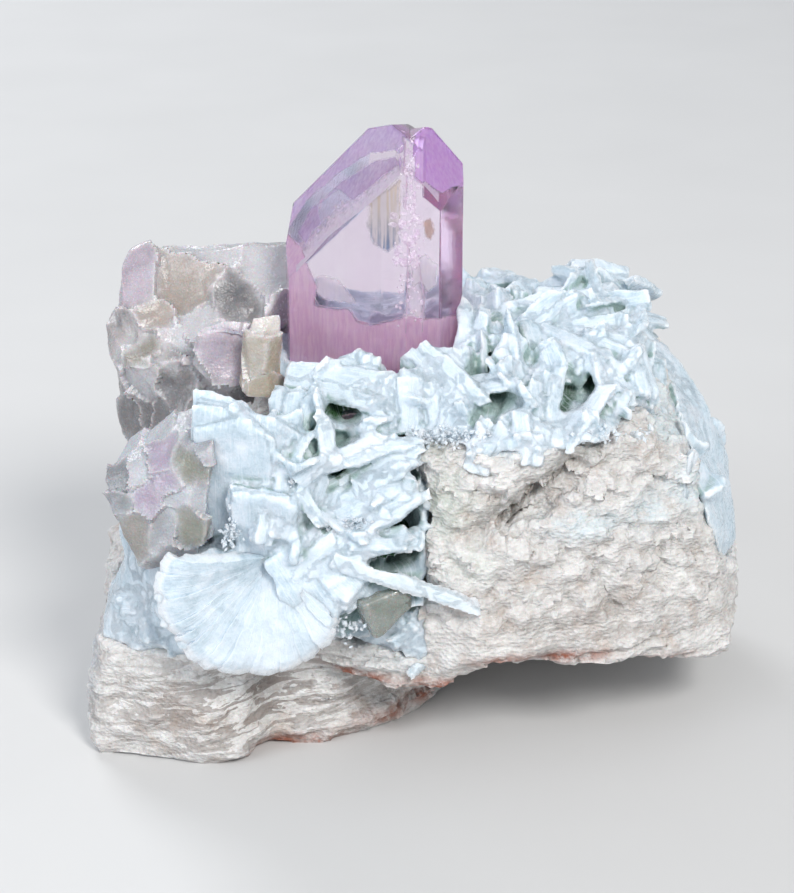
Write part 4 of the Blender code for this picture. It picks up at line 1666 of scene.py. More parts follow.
    def grown(self, shelter: Shelter) -> bpy.types.Object:
        """Grows the books, the plates and the small blades together with the crust's body.

        Args:
            shelter: What finds the hollows.

        Returns:
            The crust.
        """
        piece = self.body()
        bed = BladeBed("cleavelandite_bed", self.patterns(), 21)
        self.standing(bed)
        self.scattered(bed)
        blades = bed.make()
        warp(blades, 6.5, 0.9)
        pick(piece)
        blades.select_set(True)
        bpy.ops.object.join()
        finish_modifier(piece, "REMESH", mode="VOXEL", voxel_size=self.voxel * MM)
        keep_outer_skin(piece)
        finish_modifier(piece, "SMOOTH", factor=0.5, iterations=1)
        triangles = 2 * len(piece.data.polygons)
        if triangles > self.most_triangles:
            finish_modifier(piece, "DECIMATE", ratio=self.most_triangles / triangles)
            piece.data.validate()
        warp(piece, 1.5, 0.3)
        mark_bends(piece)
        shelter.mark(piece, 0.5, alone=True)
        bed.comb(piece)
        roughen(piece, Relief.LUMPS, 1.3, 0.15)
        self.stain_and_shade(piece)
        smooth_by_angle(piece, 40.0)
        LOG.info("crust: %d faces", len(piece.data.polygons))
        return piece

    def open_pits(self, piece: bpy.types.Object) -> None:
        """Hollows the crust out where the gaps between its blades are deep.

        Args:
            piece: The crust's body.
        """
        points = points_of(piece) / MM
        facing = np.clip(-normals_of(piece)[:, 1] * 2.0 + 0.6, 0.0, 1.0)
        for pit in self.pits:
            points[:, 1] += pit.deep * pit.amount(points) * facing
        place_points(piece, points * MM)

    def stain_and_shade(self, piece: bpy.types.Object) -> None:
        """Marks the painted dark-green shade inside the open hollows and the blue-grey at the crust's left end, which
        is partly painted shade.

        Args:
            piece: The piece to mark.
        """
        points = points_of(piece) / MM
        # Painted shade in the pits, darkest where they are most sheltered.
        green = np.zeros(len(points))
        deep = np.clip(values_of(piece, "hollow") * 3.0 - 0.6, 0.0, 1.0)
        for pit in self.pits:
            green = np.maximum(green, pit.dark * pit.amount(points) * deep)
        write_attribute(piece, "pit_shade", green)
        paint(piece, "end_grey_and_shade", [
            Spot((-56, -20, 34), (7, 14, 14)),
            Spot((-47, -30, 40), (6, 10, 9), 0.5),
        ])

    def patterns(self) -> list[tuple[np.ndarray, list[tuple[int, ...]]]]:
        """Models the few shapes that every blade is a copy of.

        Returns:
            The shapes.
        """
        shapes = (
            BladePattern((0.8, 0.95, 1.0, 0.94), (0.02, 0.03, -0.04), 14.0),
            BladePattern((0.7, 0.9, 0.98, 0.86), (-0.04, 0.05, 0.08), -20.0),
            BladePattern((0.9, 1.0, 0.95, 0.8), (0.05, -0.06, 0.06), 24.0),
            BladePattern((0.75, 1.0, 1.0, 1.02), (0.0, 0.02, 0.03), -7.0),
            BladePattern((0.85, 0.92, 0.86, 0.62), (0.03, 0.06, 0.07), 10.0),
            BladePattern((0.8, 1.0, 0.94, 0.9), (-0.06, -0.04, 0.0), -12.0),
        )
        return [shape.model() for shape in shapes]

    def standing(self, bed: BladeBed) -> None:
        """Adds the books and the plates that the eye picks out.

        Args:
            bed: The bed that they join.
        """
        for root, tip, width, thickness, face, tone in self.books:
            start, end = Vector(root), Vector(tip)
            start -= (end - start).normalized() * 2.5
            bed.spray(start, end, width, thickness, Vector(face), tone)
        for root, tip, width, thickness, face, tone in self.plates:
            bed.book(Vector(root), Vector(tip), width, thickness, Vector(face), tone, 4, 0.6)

    def scattered(self, bed: BladeBed) -> None:
        """Adds the sprays and the small blades that cover the rest of the crust.

        Args:
            bed: The bed that they join.
        """
        crust, rock = frame["nodes"][self.node].data, frame["nodes"]["albite_matrix"].data
        self.scatter(bed, crust, rock, self.book_count, (8.0, 15.0), True, False)
        self.scatter(bed, crust, rock, self.fine_count, (3.5, 7.0), False, False)
        self.scatter(bed, rock, crust, self.seam_count, (2.5, 5.0), False, True)

    def scatter(
        self,
        bed: BladeBed,
        ground: bpy.types.Mesh,
        other: bpy.types.Mesh,
        wanted: int,
        lengths: tuple[float, float],
        in_books: bool,
        near_other: bool,
    ) -> None:
        """Plants blades that lean alike with their neighbours and lie close to the ground.

        Args:
            bed: The bed that they join.
            ground: The mesh that they stand on.
            other: The neighbouring mesh, which may bury them.
            wanted: How many there are.
            lengths: The shortest and the longest, in millimetres.
            in_books: Whether each is a book of leaves.
            near_other: Whether they keep to the seam with the other mesh.
        """
        ground.calc_loop_triangles()
        tree = BVHTree.FromPolygons(
            [v.co.copy() for v in other.vertices], [tuple(f.vertices) for f in other.polygons]
        )
        areas = np.array([t.area for t in ground.loop_triangles])
        reach = np.cumsum(areas / areas.sum())
        made = 0
        while made < wanted:
            triangle = ground.loop_triangles[int(np.searchsorted(reach, bed.picker.random()))]
            normal = triangle.normal.copy()
            a, b = bed.picker.random(), bed.picker.random()
            if a + b > 1.0:
                a, b = 1.0 - a, 1.0 - b
            corners = [ground.vertices[i].co for i in triangle.vertices]
            point = corners[0] + (corners[1] - corners[0]) * a + (corners[2] - corners[0]) * b
            spot = point / MM
            if tree.ray_cast(point + normal * 0.1 * MM, normal, 3.0 * MM)[0] is not None:
                continue
            if near_other and (spot.x > 46.0 or not self.by_the_seam(spot, tree)):
                continue
            if self.kept_clear(spot, in_books):
                continue
            drift = noise.noise_vector(spot / 14.0)
            way = normal * 0.15 + drift * 1.6 + Vector((0.0, -0.1, 0.25))
            way += Vector([bed.picker.uniform(-0.25, 0.25) for _ in range(3)])
            way.normalize()
            steepest = 0.3 if spot.z > 66.0 or spot.x > 44.0 else 0.55
            if not 0.1 < way.dot(normal) < steepest:
                continue
            length = bed.picker.uniform(*lengths)
            width = length * bed.picker.uniform(0.34, 0.5)
            sink = 2.2 if spot.z > 66.0 or spot.x > 44.0 else 0.5
            root = spot - way * length * 0.6 - normal * sink
            face = normal * 0.9 + noise.noise_vector(spot / 9.0 + Vector((7.0, 3.0, 1.0))) * 1.3
            tone = bed.picker.uniform(0.1, 0.8)
            if in_books:
                bed.spray(root, root + way * length, width * 1.4, width * 0.3, face, tone)
            else:
                bend = bed.picker.uniform(-0.4, 0.4)
                bed.add(root, root + way * length, width, max(width * 0.3, 0.9), face, bend, tone)
            made += 1

    @staticmethod
    def by_the_seam(spot: Vector, tree: BVHTree) -> bool:
        """Whether a place on the rock is where the crust's blades run out over it.

        Args:
            spot: The place, in millimetres.
            tree: The crust.

        Returns:
            Whether it is.
        """
        right_shoulder = spot.x > 38.0 and spot.z > 40.0 + max(0.0, 52.0 - spot.x) * 0.9
        reach = 5.0 if right_shoulder else 1.6
        return spot.z > 30.0 and tree.find_nearest(spot * MM, reach * MM)[0] is not None

    def kept_clear(self, spot: Vector, in_books: bool) -> bool:
        """Whether a place belongs to a plate, the fan, a hollow or the listed books.

        Args:
            spot: The place, in millimetres.
            in_books: Whether a book of leaves is to stand there.

        Returns:
            Whether nothing more stands there.
        """
        for middle, reach in (
            (Vector((-29.0, -33.0, 58.0)), 12.0),
            (Vector((-25.0, -36.0, 48.0)), 7.0),
            (Vector((-24.0, -37.0, 34.0)), 17.0),
            (Vector((-14.0, -36.0, 37.0)), 10.0),
            (Vector((-3.0, -33.0, 37.0)), 9.0),
        ):
            if (spot - middle).length < reach:
                return True
        round_the_fan = spot.y < -30.0 and -52.0 < spot.x < -8.0 and spot.z < 47.0
        if round_the_fan or not -50.0 < spot.x < 51.0:
            return True
        in_front = spot.y < -9.0 and -23.0 < spot.x < 43.0 and spot.z > 40.0
        if in_books and in_front:
            return True
        place = np.array([tuple(spot)])
        return any(pit.amount(place)[0] > 0.0 for pit in self.pits)

    def fan(self) -> bpy.types.Object:
        """Builds the shell-shaped fan at the lower left: low rays that overlap like tiles, and a grainy rim with a
        painted highlight.

        Returns:
            The fan.
        """
        picker = random.Random(12)
        root = np.array([-24.2, -29.6, 41.5])
        reaches = (19.5, 20.5, 21.5, 22.5, 22.0, 23.0, 22.0, 21.0, 19.5, 18.8, 17.0, 15.5)
        first, last, rays, across, outward = 168.0, 322.0, 13, 14, 30
        widths = np.array([picker.uniform(0.5, 1.5) for _ in range(rays)])
        starts = np.concatenate([[0.0], np.cumsum(widths)]) / widths.sum()
        points, grain, edge, tone = [], [], [], []
        for ray in range(rays):
            lift = picker.uniform(0.1, 0.5)
            short = picker.uniform(0.96, 1.0)
            white = picker.uniform(0.45, 1.0)
            for step in range(across):
                part = step / (across - 1)
                share = starts[ray] + (starts[ray + 1] - starts[ray]) * part
                spot = share * (len(reaches) - 1)
                low = min(int(spot), len(reaches) - 2)
                reach = (reaches[low] + (reaches[low + 1] - reaches[low]) * (spot - low)) * short
                reach *= 1.0 - 0.02 * (2.0 * part - 1.0) ** 2
                angle = math.radians(first + (last - first) * share)
                for row in range(outward):
                    out = row / (outward - 1)
                    ridge = lift * (0.7 - part) * out ** 1.2
                    dome = -2.2 - 8.4 * math.sin(out * math.pi * 0.5) + 2.6 * max(out - 0.82, 0.0) ** 2 * 30.0
                    x = root[0] + math.cos(angle) * reach * out
                    z = root[2] + math.sin(angle) * reach * out
                    points.append((x, root[1] + dome - ridge, z))
                    grain.append((share * 60.0, reach * out * 0.5))
                    # Painted highlight along the fan's rim and down one side of each ray.
                    edge.append(1.0 if row >= outward - 3 else (0.6 if step == 0 and row > 8 else 0.0))
                    tone.append(white * min(1.0, 0.2 + 1.4 * share) * (0.6 + 1.2 * out))
        columns = rays * across
        faces = []
        for column in range(columns - 1):
            for row in range(outward - 1):
                start = column * outward + row
                faces.append((start, start + 1, start + outward + 1, start + outward))
        piece = mesh_piece("cleavelandite_fan", np.array(points) * MM, faces)
        write_attribute(piece, "edge", np.array(edge))
        write_attribute(piece, "tone", np.array(tone))
        write_map(piece, "grain", np.array(grain))
        finish_modifier(piece, "SOLIDIFY", thickness=2.2 * MM, offset=-1.0)
        warp(piece, 8.0, 0.8)
        warp(piece, 1.5, 0.35)
        roughen(piece, Relief.LUMPS, 0.8, 0.2)
        smooth_by_angle(piece, 30.0)
        return piece

    def glassy_block(self) -> bpy.types.Object:
        """Builds the grey-green glassy crystal beside the dark hollow, with its ends worn round.

        Returns:
            The crystal.
        """
        deselect_all()
        bpy.ops.mesh.primitive_cube_add(size=1.0, location=(0, 0, 0))
        piece = bpy.context.active_object
        rename(piece, "cleavelandite_glassy_block")
        bpy.ops.object.mode_set(mode="EDIT")
        bpy.ops.transform.resize(value=(9.6 * MM, 7.0 * MM, 8.4 * MM))
        BladePattern.pick_faces(piece, lambda n, c: n.x > 0.7)
        bpy.ops.transform.resize(value=(1, 0.8, 0.62))
        bpy.ops.transform.translate(value=(0, 0, 0.9 * MM))
        BladePattern.pick_faces(piece, lambda n, c: n.z < -0.7)
        bpy.ops.transform.resize(value=(0.9, 0.8, 1))
        bpy.ops.mesh.select_all(action="SELECT")
        bpy.ops.transform.rotate(value=math.radians(18), orient_axis="Y", center_override=(0, 0, 0))
        bpy.ops.transform.rotate(value=math.radians(-20), orient_axis="Z", center_override=(0, 0, 0))
        bpy.ops.transform.translate(value=(-4.6 * MM, -33.8 * MM, 32.8 * MM))
        bpy.ops.object.mode_set(mode="OBJECT")
        finish_modifier(piece, "BEVEL", width=1.1 * MM, segments=2, limit_method="ANGLE")
        finish_modifier(piece, "REMESH", mode="VOXEL", voxel_size=0.3 * MM)
        roughen(piece, Relief.SCOOPS, 4.2, 0.7, middle=0.5)
        mark_bends(piece)
        roughen(piece, Relief.LUMPS, 1.3, 0.12)
        smooth_by_angle(piece, 30.0)
        return piece

    def sugar(self) -> bpy.types.Object:
        """Builds the white grains that dust the seams between the books.

        Returns:
            The grains.
        """
        picker = random.Random(8)
        points, faces = [], []
        for middle, reach, count in (
            (Vector((-11.5, -33.0, 48.2)), (5.5, 1.2, 1.6), 90),
            (Vector((-31.2, -35.4, 47.4)), (1.5, 1.0, 3.0), 60),
            (Vector((-21.0, -33.6, 52.0)), (1.6, 1.0, 8.0), 70),
            (Vector((1.5, -26.5, 62.4)), (3.5, 1.2, 1.4), 60),
            (Vector((8.0, -27.5, 62.6)), (7.0, 1.6, 1.6), 110),
            (Vector((30.0, -26.0, 62.0)), (9.0, 1.6, 1.4), 80),
            (Vector((-14.0, -36.5, 30.0)), (6.0, 1.2, 3.0), 60),
        ):
            for _ in range(count):
                spot = middle + Vector([picker.gauss(0.0, 0.55) * r for r in reach])
                size = picker.uniform(0.2, 0.62)
                axes = [Vector([picker.gauss(0, 1) for _ in range(3)]).normalized() for _ in range(2)]
                third = axes[0].cross(axes[1]).normalized()
                second = third.cross(axes[0])
                start = len(points)
                for along, across, up in ((1.3, 0, 0), (-1.3, 0, 0), (0, 1, 0), (0, -1, 0), (0, 0, 0.7), (0, 0, -0.7)):
                    points.append((spot + (axes[0] * along + second * across + third * up) * size) * MM)
                for ring in ((0, 2, 4), (2, 1, 4), (1, 3, 4), (3, 0, 4), (2, 0, 5), (1, 2, 5), (3, 1, 5), (0, 3, 5)):
                    faces.append(tuple(start + i for i in ring))
        piece = mesh_piece("cleavelandite_grains", np.array([tuple(p) for p in points]), faces)
        write_attribute(piece, "tone", np.full(len(points), 1.0))
        return piece

    def build(self, shelter: Shelter) -> None:
        """Builds and dresses the crust.

        Args:
            shelter: What finds the hollows.
        """
        material = self.finish.make()
        hand_over(self.grown(shelter), material, [self.node])
        hand_over(self.fan(), material)
        hand_over(self.sugar(), material)
        block = self.glassy_block()
        shelter.mark(block, 0.5)
        hand_over(block, QuartzFinish(
            "cleavelandite_glassy", (0.34, 0.37, 0.34), (0.20, 0.23, 0.20), (0.52, 0.56, 0.56),
            (0.2, 0.2, 0.1), (0.5, 0.5, 0.5), 0.35,
        ).make())


# ---- the kunzite ----


@dataclass
class Kunzite:
    """The clear lilac crystal, with the veils and the healed cracks inside it."""

    node: str = "kunzite"
    bevel: float = 0.16
    finish: ClearLilac = field(default_factory=ClearLilac)

    def __post_init__(self) -> None:
        """Keeps the crystal's faces, to place what is inside them."""
        mesh = frame["nodes"][self.node].data
        self.tree = BVHTree.FromPolygons([v.co.copy() for v in mesh.vertices], [tuple(f.vertices) for f in mesh.polygons])

    def body(self) -> bpy.types.Object:
        """Builds the crystal, its edges worn.

        Returns:
            The crystal.
        """
        piece = copy_of_node(self.node, "kunzite_crystal")
        pick(piece)
        bpy.ops.object.mode_set(mode="EDIT")
        bpy.ops.mesh.select_all(action="SELECT")
        bpy.ops.mesh.dissolve_limited(angle_limit=math.radians(1.0))
        bpy.ops.object.mode_set(mode="OBJECT")
        finish_modifier(
            piece, "BEVEL", width=self.bevel * MM, segments=2, limit_method="ANGLE",
            angle_limit=math.radians(14.0), use_clamp_overlap=True,
        )
        return piece

    def inner(self, x: float, z: float, depth: float) -> Vector | None:
        """A place behind the crystal's front.

        Args:
            x: How far right it is, in millimetres.
            z: How high it is.
            depth: How far behind the front it is.

        Returns:
            The place, or none beside the crystal.
        """
        way = Vector((0.0, 1.0, 0.0))
        place, normal, _, _ = self.tree.ray_cast(Vector((x, -60.0, z)) * MM, way)
        if place is None:
            return None
        _, _, _, through = self.tree.ray_cast(place + way * 0.02 * MM, way)
        back = depth / max(abs(normal.y), 0.45)
        back = min(back, 0.5 * (through or 0.0) / MM)
        return place / MM + way * back

    def veil(
        self,
        name: str,
        outline: Sequence[tuple[float, float]],
        depth: float,
        finish: VeilFinish,
        soft: float = 1.0,
        step: float = 0.4,
    ) -> None:
        """Adds a thin wavy veil that follows the crystal's front, and thins out at its edge.

        Args:
            name: The piece's name.
            outline: The veil's corners as x and z, in millimetres.
            depth: How far behind the front it lies.
            finish: What it wears.
            soft: How wide its edge thins out.
            step: Its mesh's spacing.
        """
        corners = np.array(outline)
        low, high = corners.min(axis=0), corners.max(axis=0)
        columns, rows = (np.ceil((high - low) / step).astype(int) + 1).tolist()
        places = {}
        points = []
        flat = np.array([(low[0] + c * step, low[1] + r * step) for c in range(columns) for r in range(rows)])
        inside = inset(flat, corners)
        for index, (x, z) in enumerate(flat):
            place = self.inner(x, z, depth) if inside[index] > -0.3 * step else None
            if place is not None:
                places[divmod(index, rows)] = len(points)
                points.append(tuple(place))
        faces = []
        for column, row in places:
            ring = [(column, row), (column + 1, row), (column + 1, row + 1), (column, row + 1)]
            if all(corner in places for corner in ring):
                faces.append(tuple(places[corner] for corner in ring))
        piece = mesh_piece(name, np.array(points) * MM, faces)
        roughen(piece, Relief.LUMPS, 2.4, 0.4)
        finish_modifier(piece, "SOLIDIFY", thickness=0.06 * MM, offset=0.0)
        spots = points_of(piece)[:, [0, 2]] / MM
        write_attribute(piece, "fade", np.clip(inset(spots, corners) / soft, 0.0, 1.0))
        hand_over(piece, finish.make())

    def sheet(
        self, name: str, line: Sequence[tuple[float, float]], back: Point, rows: int, finish: VeilFinish
    ) -> None:
        """Adds a thin sheet that runs from a line on the front into the crystal.

        Args:
            name: The piece's name.
            line: The line's points as x and z, in millimetres.
            back: How far each row lies from the one before it.
            rows: How many rows it has.
            finish: What it wears.
        """
        points, faces = [], []
        for x, z in line:
            start = self.inner(x, z, 0.3)
            points += [tuple((start + Vector(back) * row) * MM) for row in range(rows)]
        for index in range(len(line) - 1):
            for row in range(rows - 1):
                start = index * rows + row
                faces.append((start, start + 1, start + rows + 1, start + rows))
        piece = mesh_piece(name, np.array(points), faces)
        write_attribute(piece, "fade", np.array([1.0 - 0.8 * row / (rows - 1) for _ in line for row in range(rows)]))
        pick(piece)
        bpy.ops.object.mode_set(mode="EDIT")
        bpy.ops.mesh.select_all(action="SELECT")
        bpy.ops.mesh.subdivide(number_cuts=3)
        bpy.ops.object.mode_set(mode="OBJECT")
        roughen(piece, Relief.LUMPS, 1.6, 0.4)
        finish_modifier(piece, "SOLIDIFY", thickness=0.07 * MM, offset=0.0)
        hand_over(piece, finish.make())

    def bubbles(self) -> None:
        """Adds the upright seam of bubbles and frosty chips between the two individuals."""
        picker = random.Random(9)
        deselect_all()
        bpy.ops.mesh.primitive_ico_sphere_add(subdivisions=2, radius=1.0, location=(0, 0, 0))
        seed_ball = bpy.context.active_object
        shape = points_of(seed_ball)
        ball = [tuple(f.vertices) for f in seed_ball.data.polygons]
        bpy.data.objects.remove(seed_ball, do_unlink=True)
        points, faces = [], []
        for index in range(210):
            z = 76.0 + 35.0 * picker.random()
            broad = 87.0 < z < 98.0
            x = -0.3 + picker.gauss(0.0, 1.0 if z < 97.0 else 0.55)
            place = self.inner(x, z, 0.7 + abs(picker.gauss(0.0, 1.1)))
            if place is None:
                continue
            size = picker.uniform(0.14, 0.42)
            if broad and picker.random() < 0.3:
                size = picker.uniform(0.5, 0.85)
            stretch = np.array([picker.uniform(0.6, 1.2), picker.uniform(0.5, 1.0), picker.uniform(0.6, 1.5)])
            bumps = np.array([1.0 + 0.35 * noise.noise(Vector(p) * 2.0 + Vector((index, 0, 0))) for p in shape])
            start = len(faces) // len(ball) * len(shape)
            points.append((shape * bumps[:, None] * size * stretch + np.array(place)) * MM)
            faces += [tuple(start + i for i in f) for f in ball]
        piece = mesh_piece("kunzite_bubble_seam", np.concatenate(points), faces)
        smooth_by_angle(piece, 60.0)
        hand_over(piece, BubbleFinish().make())

    def build(self) -> None:
        """Builds and dresses the crystal and all that is inside it."""
        hand_over(self.body(), self.finish.make(), [self.node])
        root = [
            (-23.5, 62.0), (10.0, 62.0), (10.0, 76.8), (8.6, 76.5), (5.0, 77.6), (2.2, 77.8), (-1.1, 78.6),
            (-2.1, 78.0), (-5.0, 76.9), (-7.1, 76.2), (-9.6, 76.7), (-11.0, 78.9), (-14.6, 78.6), (-17.0, 78.9),
            (-16.4, 82.0), (-17.4, 85.0), (-19.2, 88.5), (-23.5, 90.5),
        ]
        pink = VeilFinish("kunzite_pink_veil", (0.80, 0.53, 0.73), (0.91, 0.69, 0.81), 0.88, 3.0)
        self.veil("kunzite_pink_root", root, 0.8, pink, 0.9)
        low_root = [(x, min(z, 77.0) - 1.0) for x, z in root[:4]] + [(-3.0, 75.0), (-12.0, 77.0), (-23.5, 77.5)]
        self.veil("kunzite_pink_root_inner", low_root, 4.2, pink, 1.2)
        # Painted light: the paler lilac where light from above falls through the top-left end face.
        band = VeilFinish("kunzite_lilac_band", (0.74, 0.58, 0.83), (0.88, 0.77, 0.94), 0.84, 3.0)
        self.veil("kunzite_lilac_cap", [
            (-23.5, 88.0), (-23.5, 95.0), (-16.0, 105.0), (-8.0, 112.5), (-0.9, 113.0), (-0.9, 107.4), (-6.8, 105.3),
            (-12.8, 100.4), (-18.2, 95.2), (-21.5, 90.4),
        ], 0.8, band, 0.7)
        deep = VeilFinish("kunzite_lilac_deep", (0.54, 0.38, 0.66), (0.76, 0.62, 0.84), 0.5, 2.6)
        self.veil("kunzite_lilac_middle", [
            (-20.6, 90.0), (-18.0, 94.6), (-12.6, 99.8), (-6.7, 104.7), (-1.0, 107.0), (-1.0, 105.6), (-7.6, 99.4),
            (-10.2, 97.0), (-12.5, 98.2), (-16.0, 95.0), (-15.4, 92.8), (-18.6, 88.2),
        ], 1.0, deep, 0.9)
        rose = VeilFinish("kunzite_magenta_veil", (0.74, 0.42, 0.85), (0.84, 0.60, 0.93), 0.84, 3.4)
        self.veil("kunzite_magenta_cap", [
            (0.2, 103.6), (3.2, 100.6), (5.0, 99.3), (7.0, 99.9), (10.0, 99.4), (10.0, 112.0), (0.2, 113.0),
        ], 0.9, rose, 0.6)
        white = VeilFinish("kunzite_white_veil", (0.90, 0.86, 0.93), (0.99, 0.96, 0.99), 0.6, 1.6, (1, 1, 1.4))
        self.veil("kunzite_white_patch", [
            (-17.2, 85.0), (-13.0, 84.6), (-10.6, 81.9), (-9.0, 79.4), (-12.0, 79.0), (-15.8, 79.2), (-17.6, 81.0),
        ], 1.2, white, 1.2)
        self.veil("kunzite_pink_column", [
            (-1.6, 74.0), (2.8, 74.0), (2.4, 82.0), (1.4, 90.0), (-1.2, 89.0), (-1.6, 82.0),
        ], 1.4, white, 1.6)
        self.veil("kunzite_frost_patch", [
            (-0.6, 88.6), (2.4, 89.8), (4.8, 87.4), (4.6, 83.2), (2.6, 81.6), (1.4, 83.8), (-0.4, 82.6),
        ], 1.1, white, 0.9)
        amber = VeilFinish("kunzite_amber_stain", (0.50, 0.28, 0.16), (0.72, 0.50, 0.36), 0.5, 1.6, (1, 1, 1))
        self.veil("kunzite_amber_patch", [(1.6, 96.0), (3.6, 96.4), (4.4, 93.6), (3.4, 91.4), (1.8, 92.4)], 1.2, amber, 0.9)
        self.veil("kunzite_sheen", [
            (-7.8, 99.4), (-4.4, 101.8), (-1.2, 104.4), (-1.2, 91.4), (-4.0, 89.0), (-7.0, 90.4), (-8.4, 94.0),
        ], 1.6, SheenFinish(), 1.4)
        bright = VeilFinish("kunzite_crack", (0.93, 0.82, 0.92), (0.98, 0.94, 0.98), 0.8, 1.2, (1, 1, 1))
        slant = [(-1.5, 104.4), (-7.7, 98.1), (-14.6, 91.6), (-18.8, 86.6), (-20.6, 84.6)]
        self.sheet("kunzite_slanting_crack", slant, (0.2, 1.0, 0.5), 7, bright)
        rim = [
            (-17.4, 80.4), (-16.6, 78.9), (-14.6, 78.6), (-11.0, 78.9), (-9.6, 76.7), (-7.1, 76.2), (-5.0, 76.9),
            (-2.1, 78.0), (-1.1, 78.6),
        ]
        self.sheet("kunzite_root_rim", rim, (0.02, 0.35, -0.1), 4, bright)
        self.sheet("kunzite_right_crack", [(-0.6, 104.0), (2.2, 101.6), (4.6, 98.6)], (-0.1, 1.0, 0.4), 5, bright)
        seam = VeilFinish("kunzite_seam", (0.80, 0.60, 0.78), (0.95, 0.85, 0.94), 0.6, 1.4, (1, 1, 2))
        self.sheet("kunzite_seam_left", [(-1.1, 75.0), (-0.9, 84.0), (-0.8, 92.0)], (0.05, 1.2, 0.0), 5, seam)
        self.sheet("kunzite_seam_right", [(1.9, 75.0), (2.0, 82.0), (1.2, 88.0)], (0.05, 1.2, 0.0), 5, seam)
        self.sheet("kunzite_seam_top", [(-1.2, 98.0), (-1.0, 104.0), (-0.9, 109.0)], (0.0, 0.9, 0.0), 5, seam)
        self.bubbles()


# ---- the quartz, the feldspar and the broken spodumene ----


@dataclass
class Break:
    """One shell-shaped break of a glassy crystal: its middle, the mark that it carries and how deep it is."""

    middle: Point
    mark: str = ""
    deep: float = 0.9
    pull: float = 0.0


@dataclass
class BrokenCrystal:
    """A glassy crystal bounded by shell-shaped breaks: its relief, its stains and its finish."""

    node: str
    name: str
    slot: Slot
    finish: QuartzFinish
    breaks: list[Break]
    voxel: float = 0.5
    spread: float = 9.0
    fill: int = 16
    seed: int = 4
    wander: float = 2.6
    marks: tuple[str, ...] = ("tan", "lilac", "stain_and_shade", "smoke", "frost")
    blur: int = 16
    smoky: list[Spot] = field(default_factory=list)

    def all_breaks(self, points: np.ndarray) -> list[Break]:
        """The listed breaks, and chance ones for the rest of the crystal.

        Args:
            points: The crystal's surface, as rows of x, y and z in millimetres.

        Returns:
            All the breaks.
        """
        picker = random.Random(self.seed)
        found = list(self.breaks)
        for _ in range(400):
            place = points[picker.randrange(len(points))]
            if all(math.dist(place, other.middle) > self.spread * 0.85 for other in found):
                mark = picker.choice(("", "smoke", "frost", "tan", ""))
                found.append(Break(tuple(place), mark, picker.uniform(0.5, 1.1)))
            if len(found) >= len(self.breaks) + self.fill:
                break
        return found

    def break_up(self, piece: bpy.types.Object) -> None:
        """Hollows every break out, raises the rims between them and marks both.

        Args:
            piece: The crystal.
        """
        points = points_of(piece) / MM
        breaks = self.all_breaks(points)
        drift = np.array([tuple(noise.noise_vector(Vector(p) / 4.5)) for p in points])
        fine = np.array([tuple(noise.noise_vector(Vector(p) / 1.3)) for p in points])
        moved = points + self.wander * drift + 0.35 * fine
        middles = np.array([b.middle for b in breaks])
        away = np.linalg.norm(moved[:, None, :] - middles[None], axis=2) - np.array([b.pull for b in breaks])
        order = np.argsort(away, axis=1)[:, :2]
        rows = np.arange(len(points))
        nearest = order[:, 0]
        gap = away[rows, order[:, 1]] - away[rows, nearest]
        bowl = np.array([b.deep for b in breaks])[nearest] * np.clip(gap / 5.0, 0.0, 1.0) ** 0.7
        picker = random.Random(self.seed + 1)
        slopes = np.array([[picker.uniform(-0.2, 0.2) for _ in range(3)] for _ in breaks])
        tilt = np.clip(np.einsum("ij,ij->i", points - middles[nearest], slopes[nearest]), -1.1, 1.1)
        points -= normals_of(piece) * (bowl - tilt)[:, None]
        points[:, 2] = np.maximum(points[:, 2], 0.0)
        place_points(piece, points * MM)
        # The rims are marked for the painted highlight along them.
        write_attribute(piece, "rim", melted(piece, np.clip(1.0 - gap / 1.6, 0.0, 1.0), 2))
        for mark in self.marks:
            held = np.array([1.0 if b.mark == mark else 0.0 for b in breaks])
            amount = melted(piece, held[nearest], self.blur)
            if mark == "smoke":
                for spot in self.smoky:
                    amount = np.maximum(amount, spot.amount(points))
            write_attribute(piece, mark, amount)

    def build(self, shelter: Shelter) -> None:
        """Builds and dresses the crystal.

        Args:
            shelter: What finds the hollows.
        """
        piece = copy_of_node(self.node, self.name)
        finish_modifier(piece, "REMESH", mode="VOXEL", voxel_size=self.voxel * MM)
        finish_modifier(piece, "SMOOTH", factor=0.5, iterations=3)
        self.break_up(piece)
        mark_bends(piece)
        roughen(piece, Relief.LUMPS, 2.4, 0.3)
        shelter.mark(piece, alone=True)
        smooth_by_angle(piece, 30.0)
        hand_over(piece, self.finish.make(), [self.node])


# ---- the studio ----


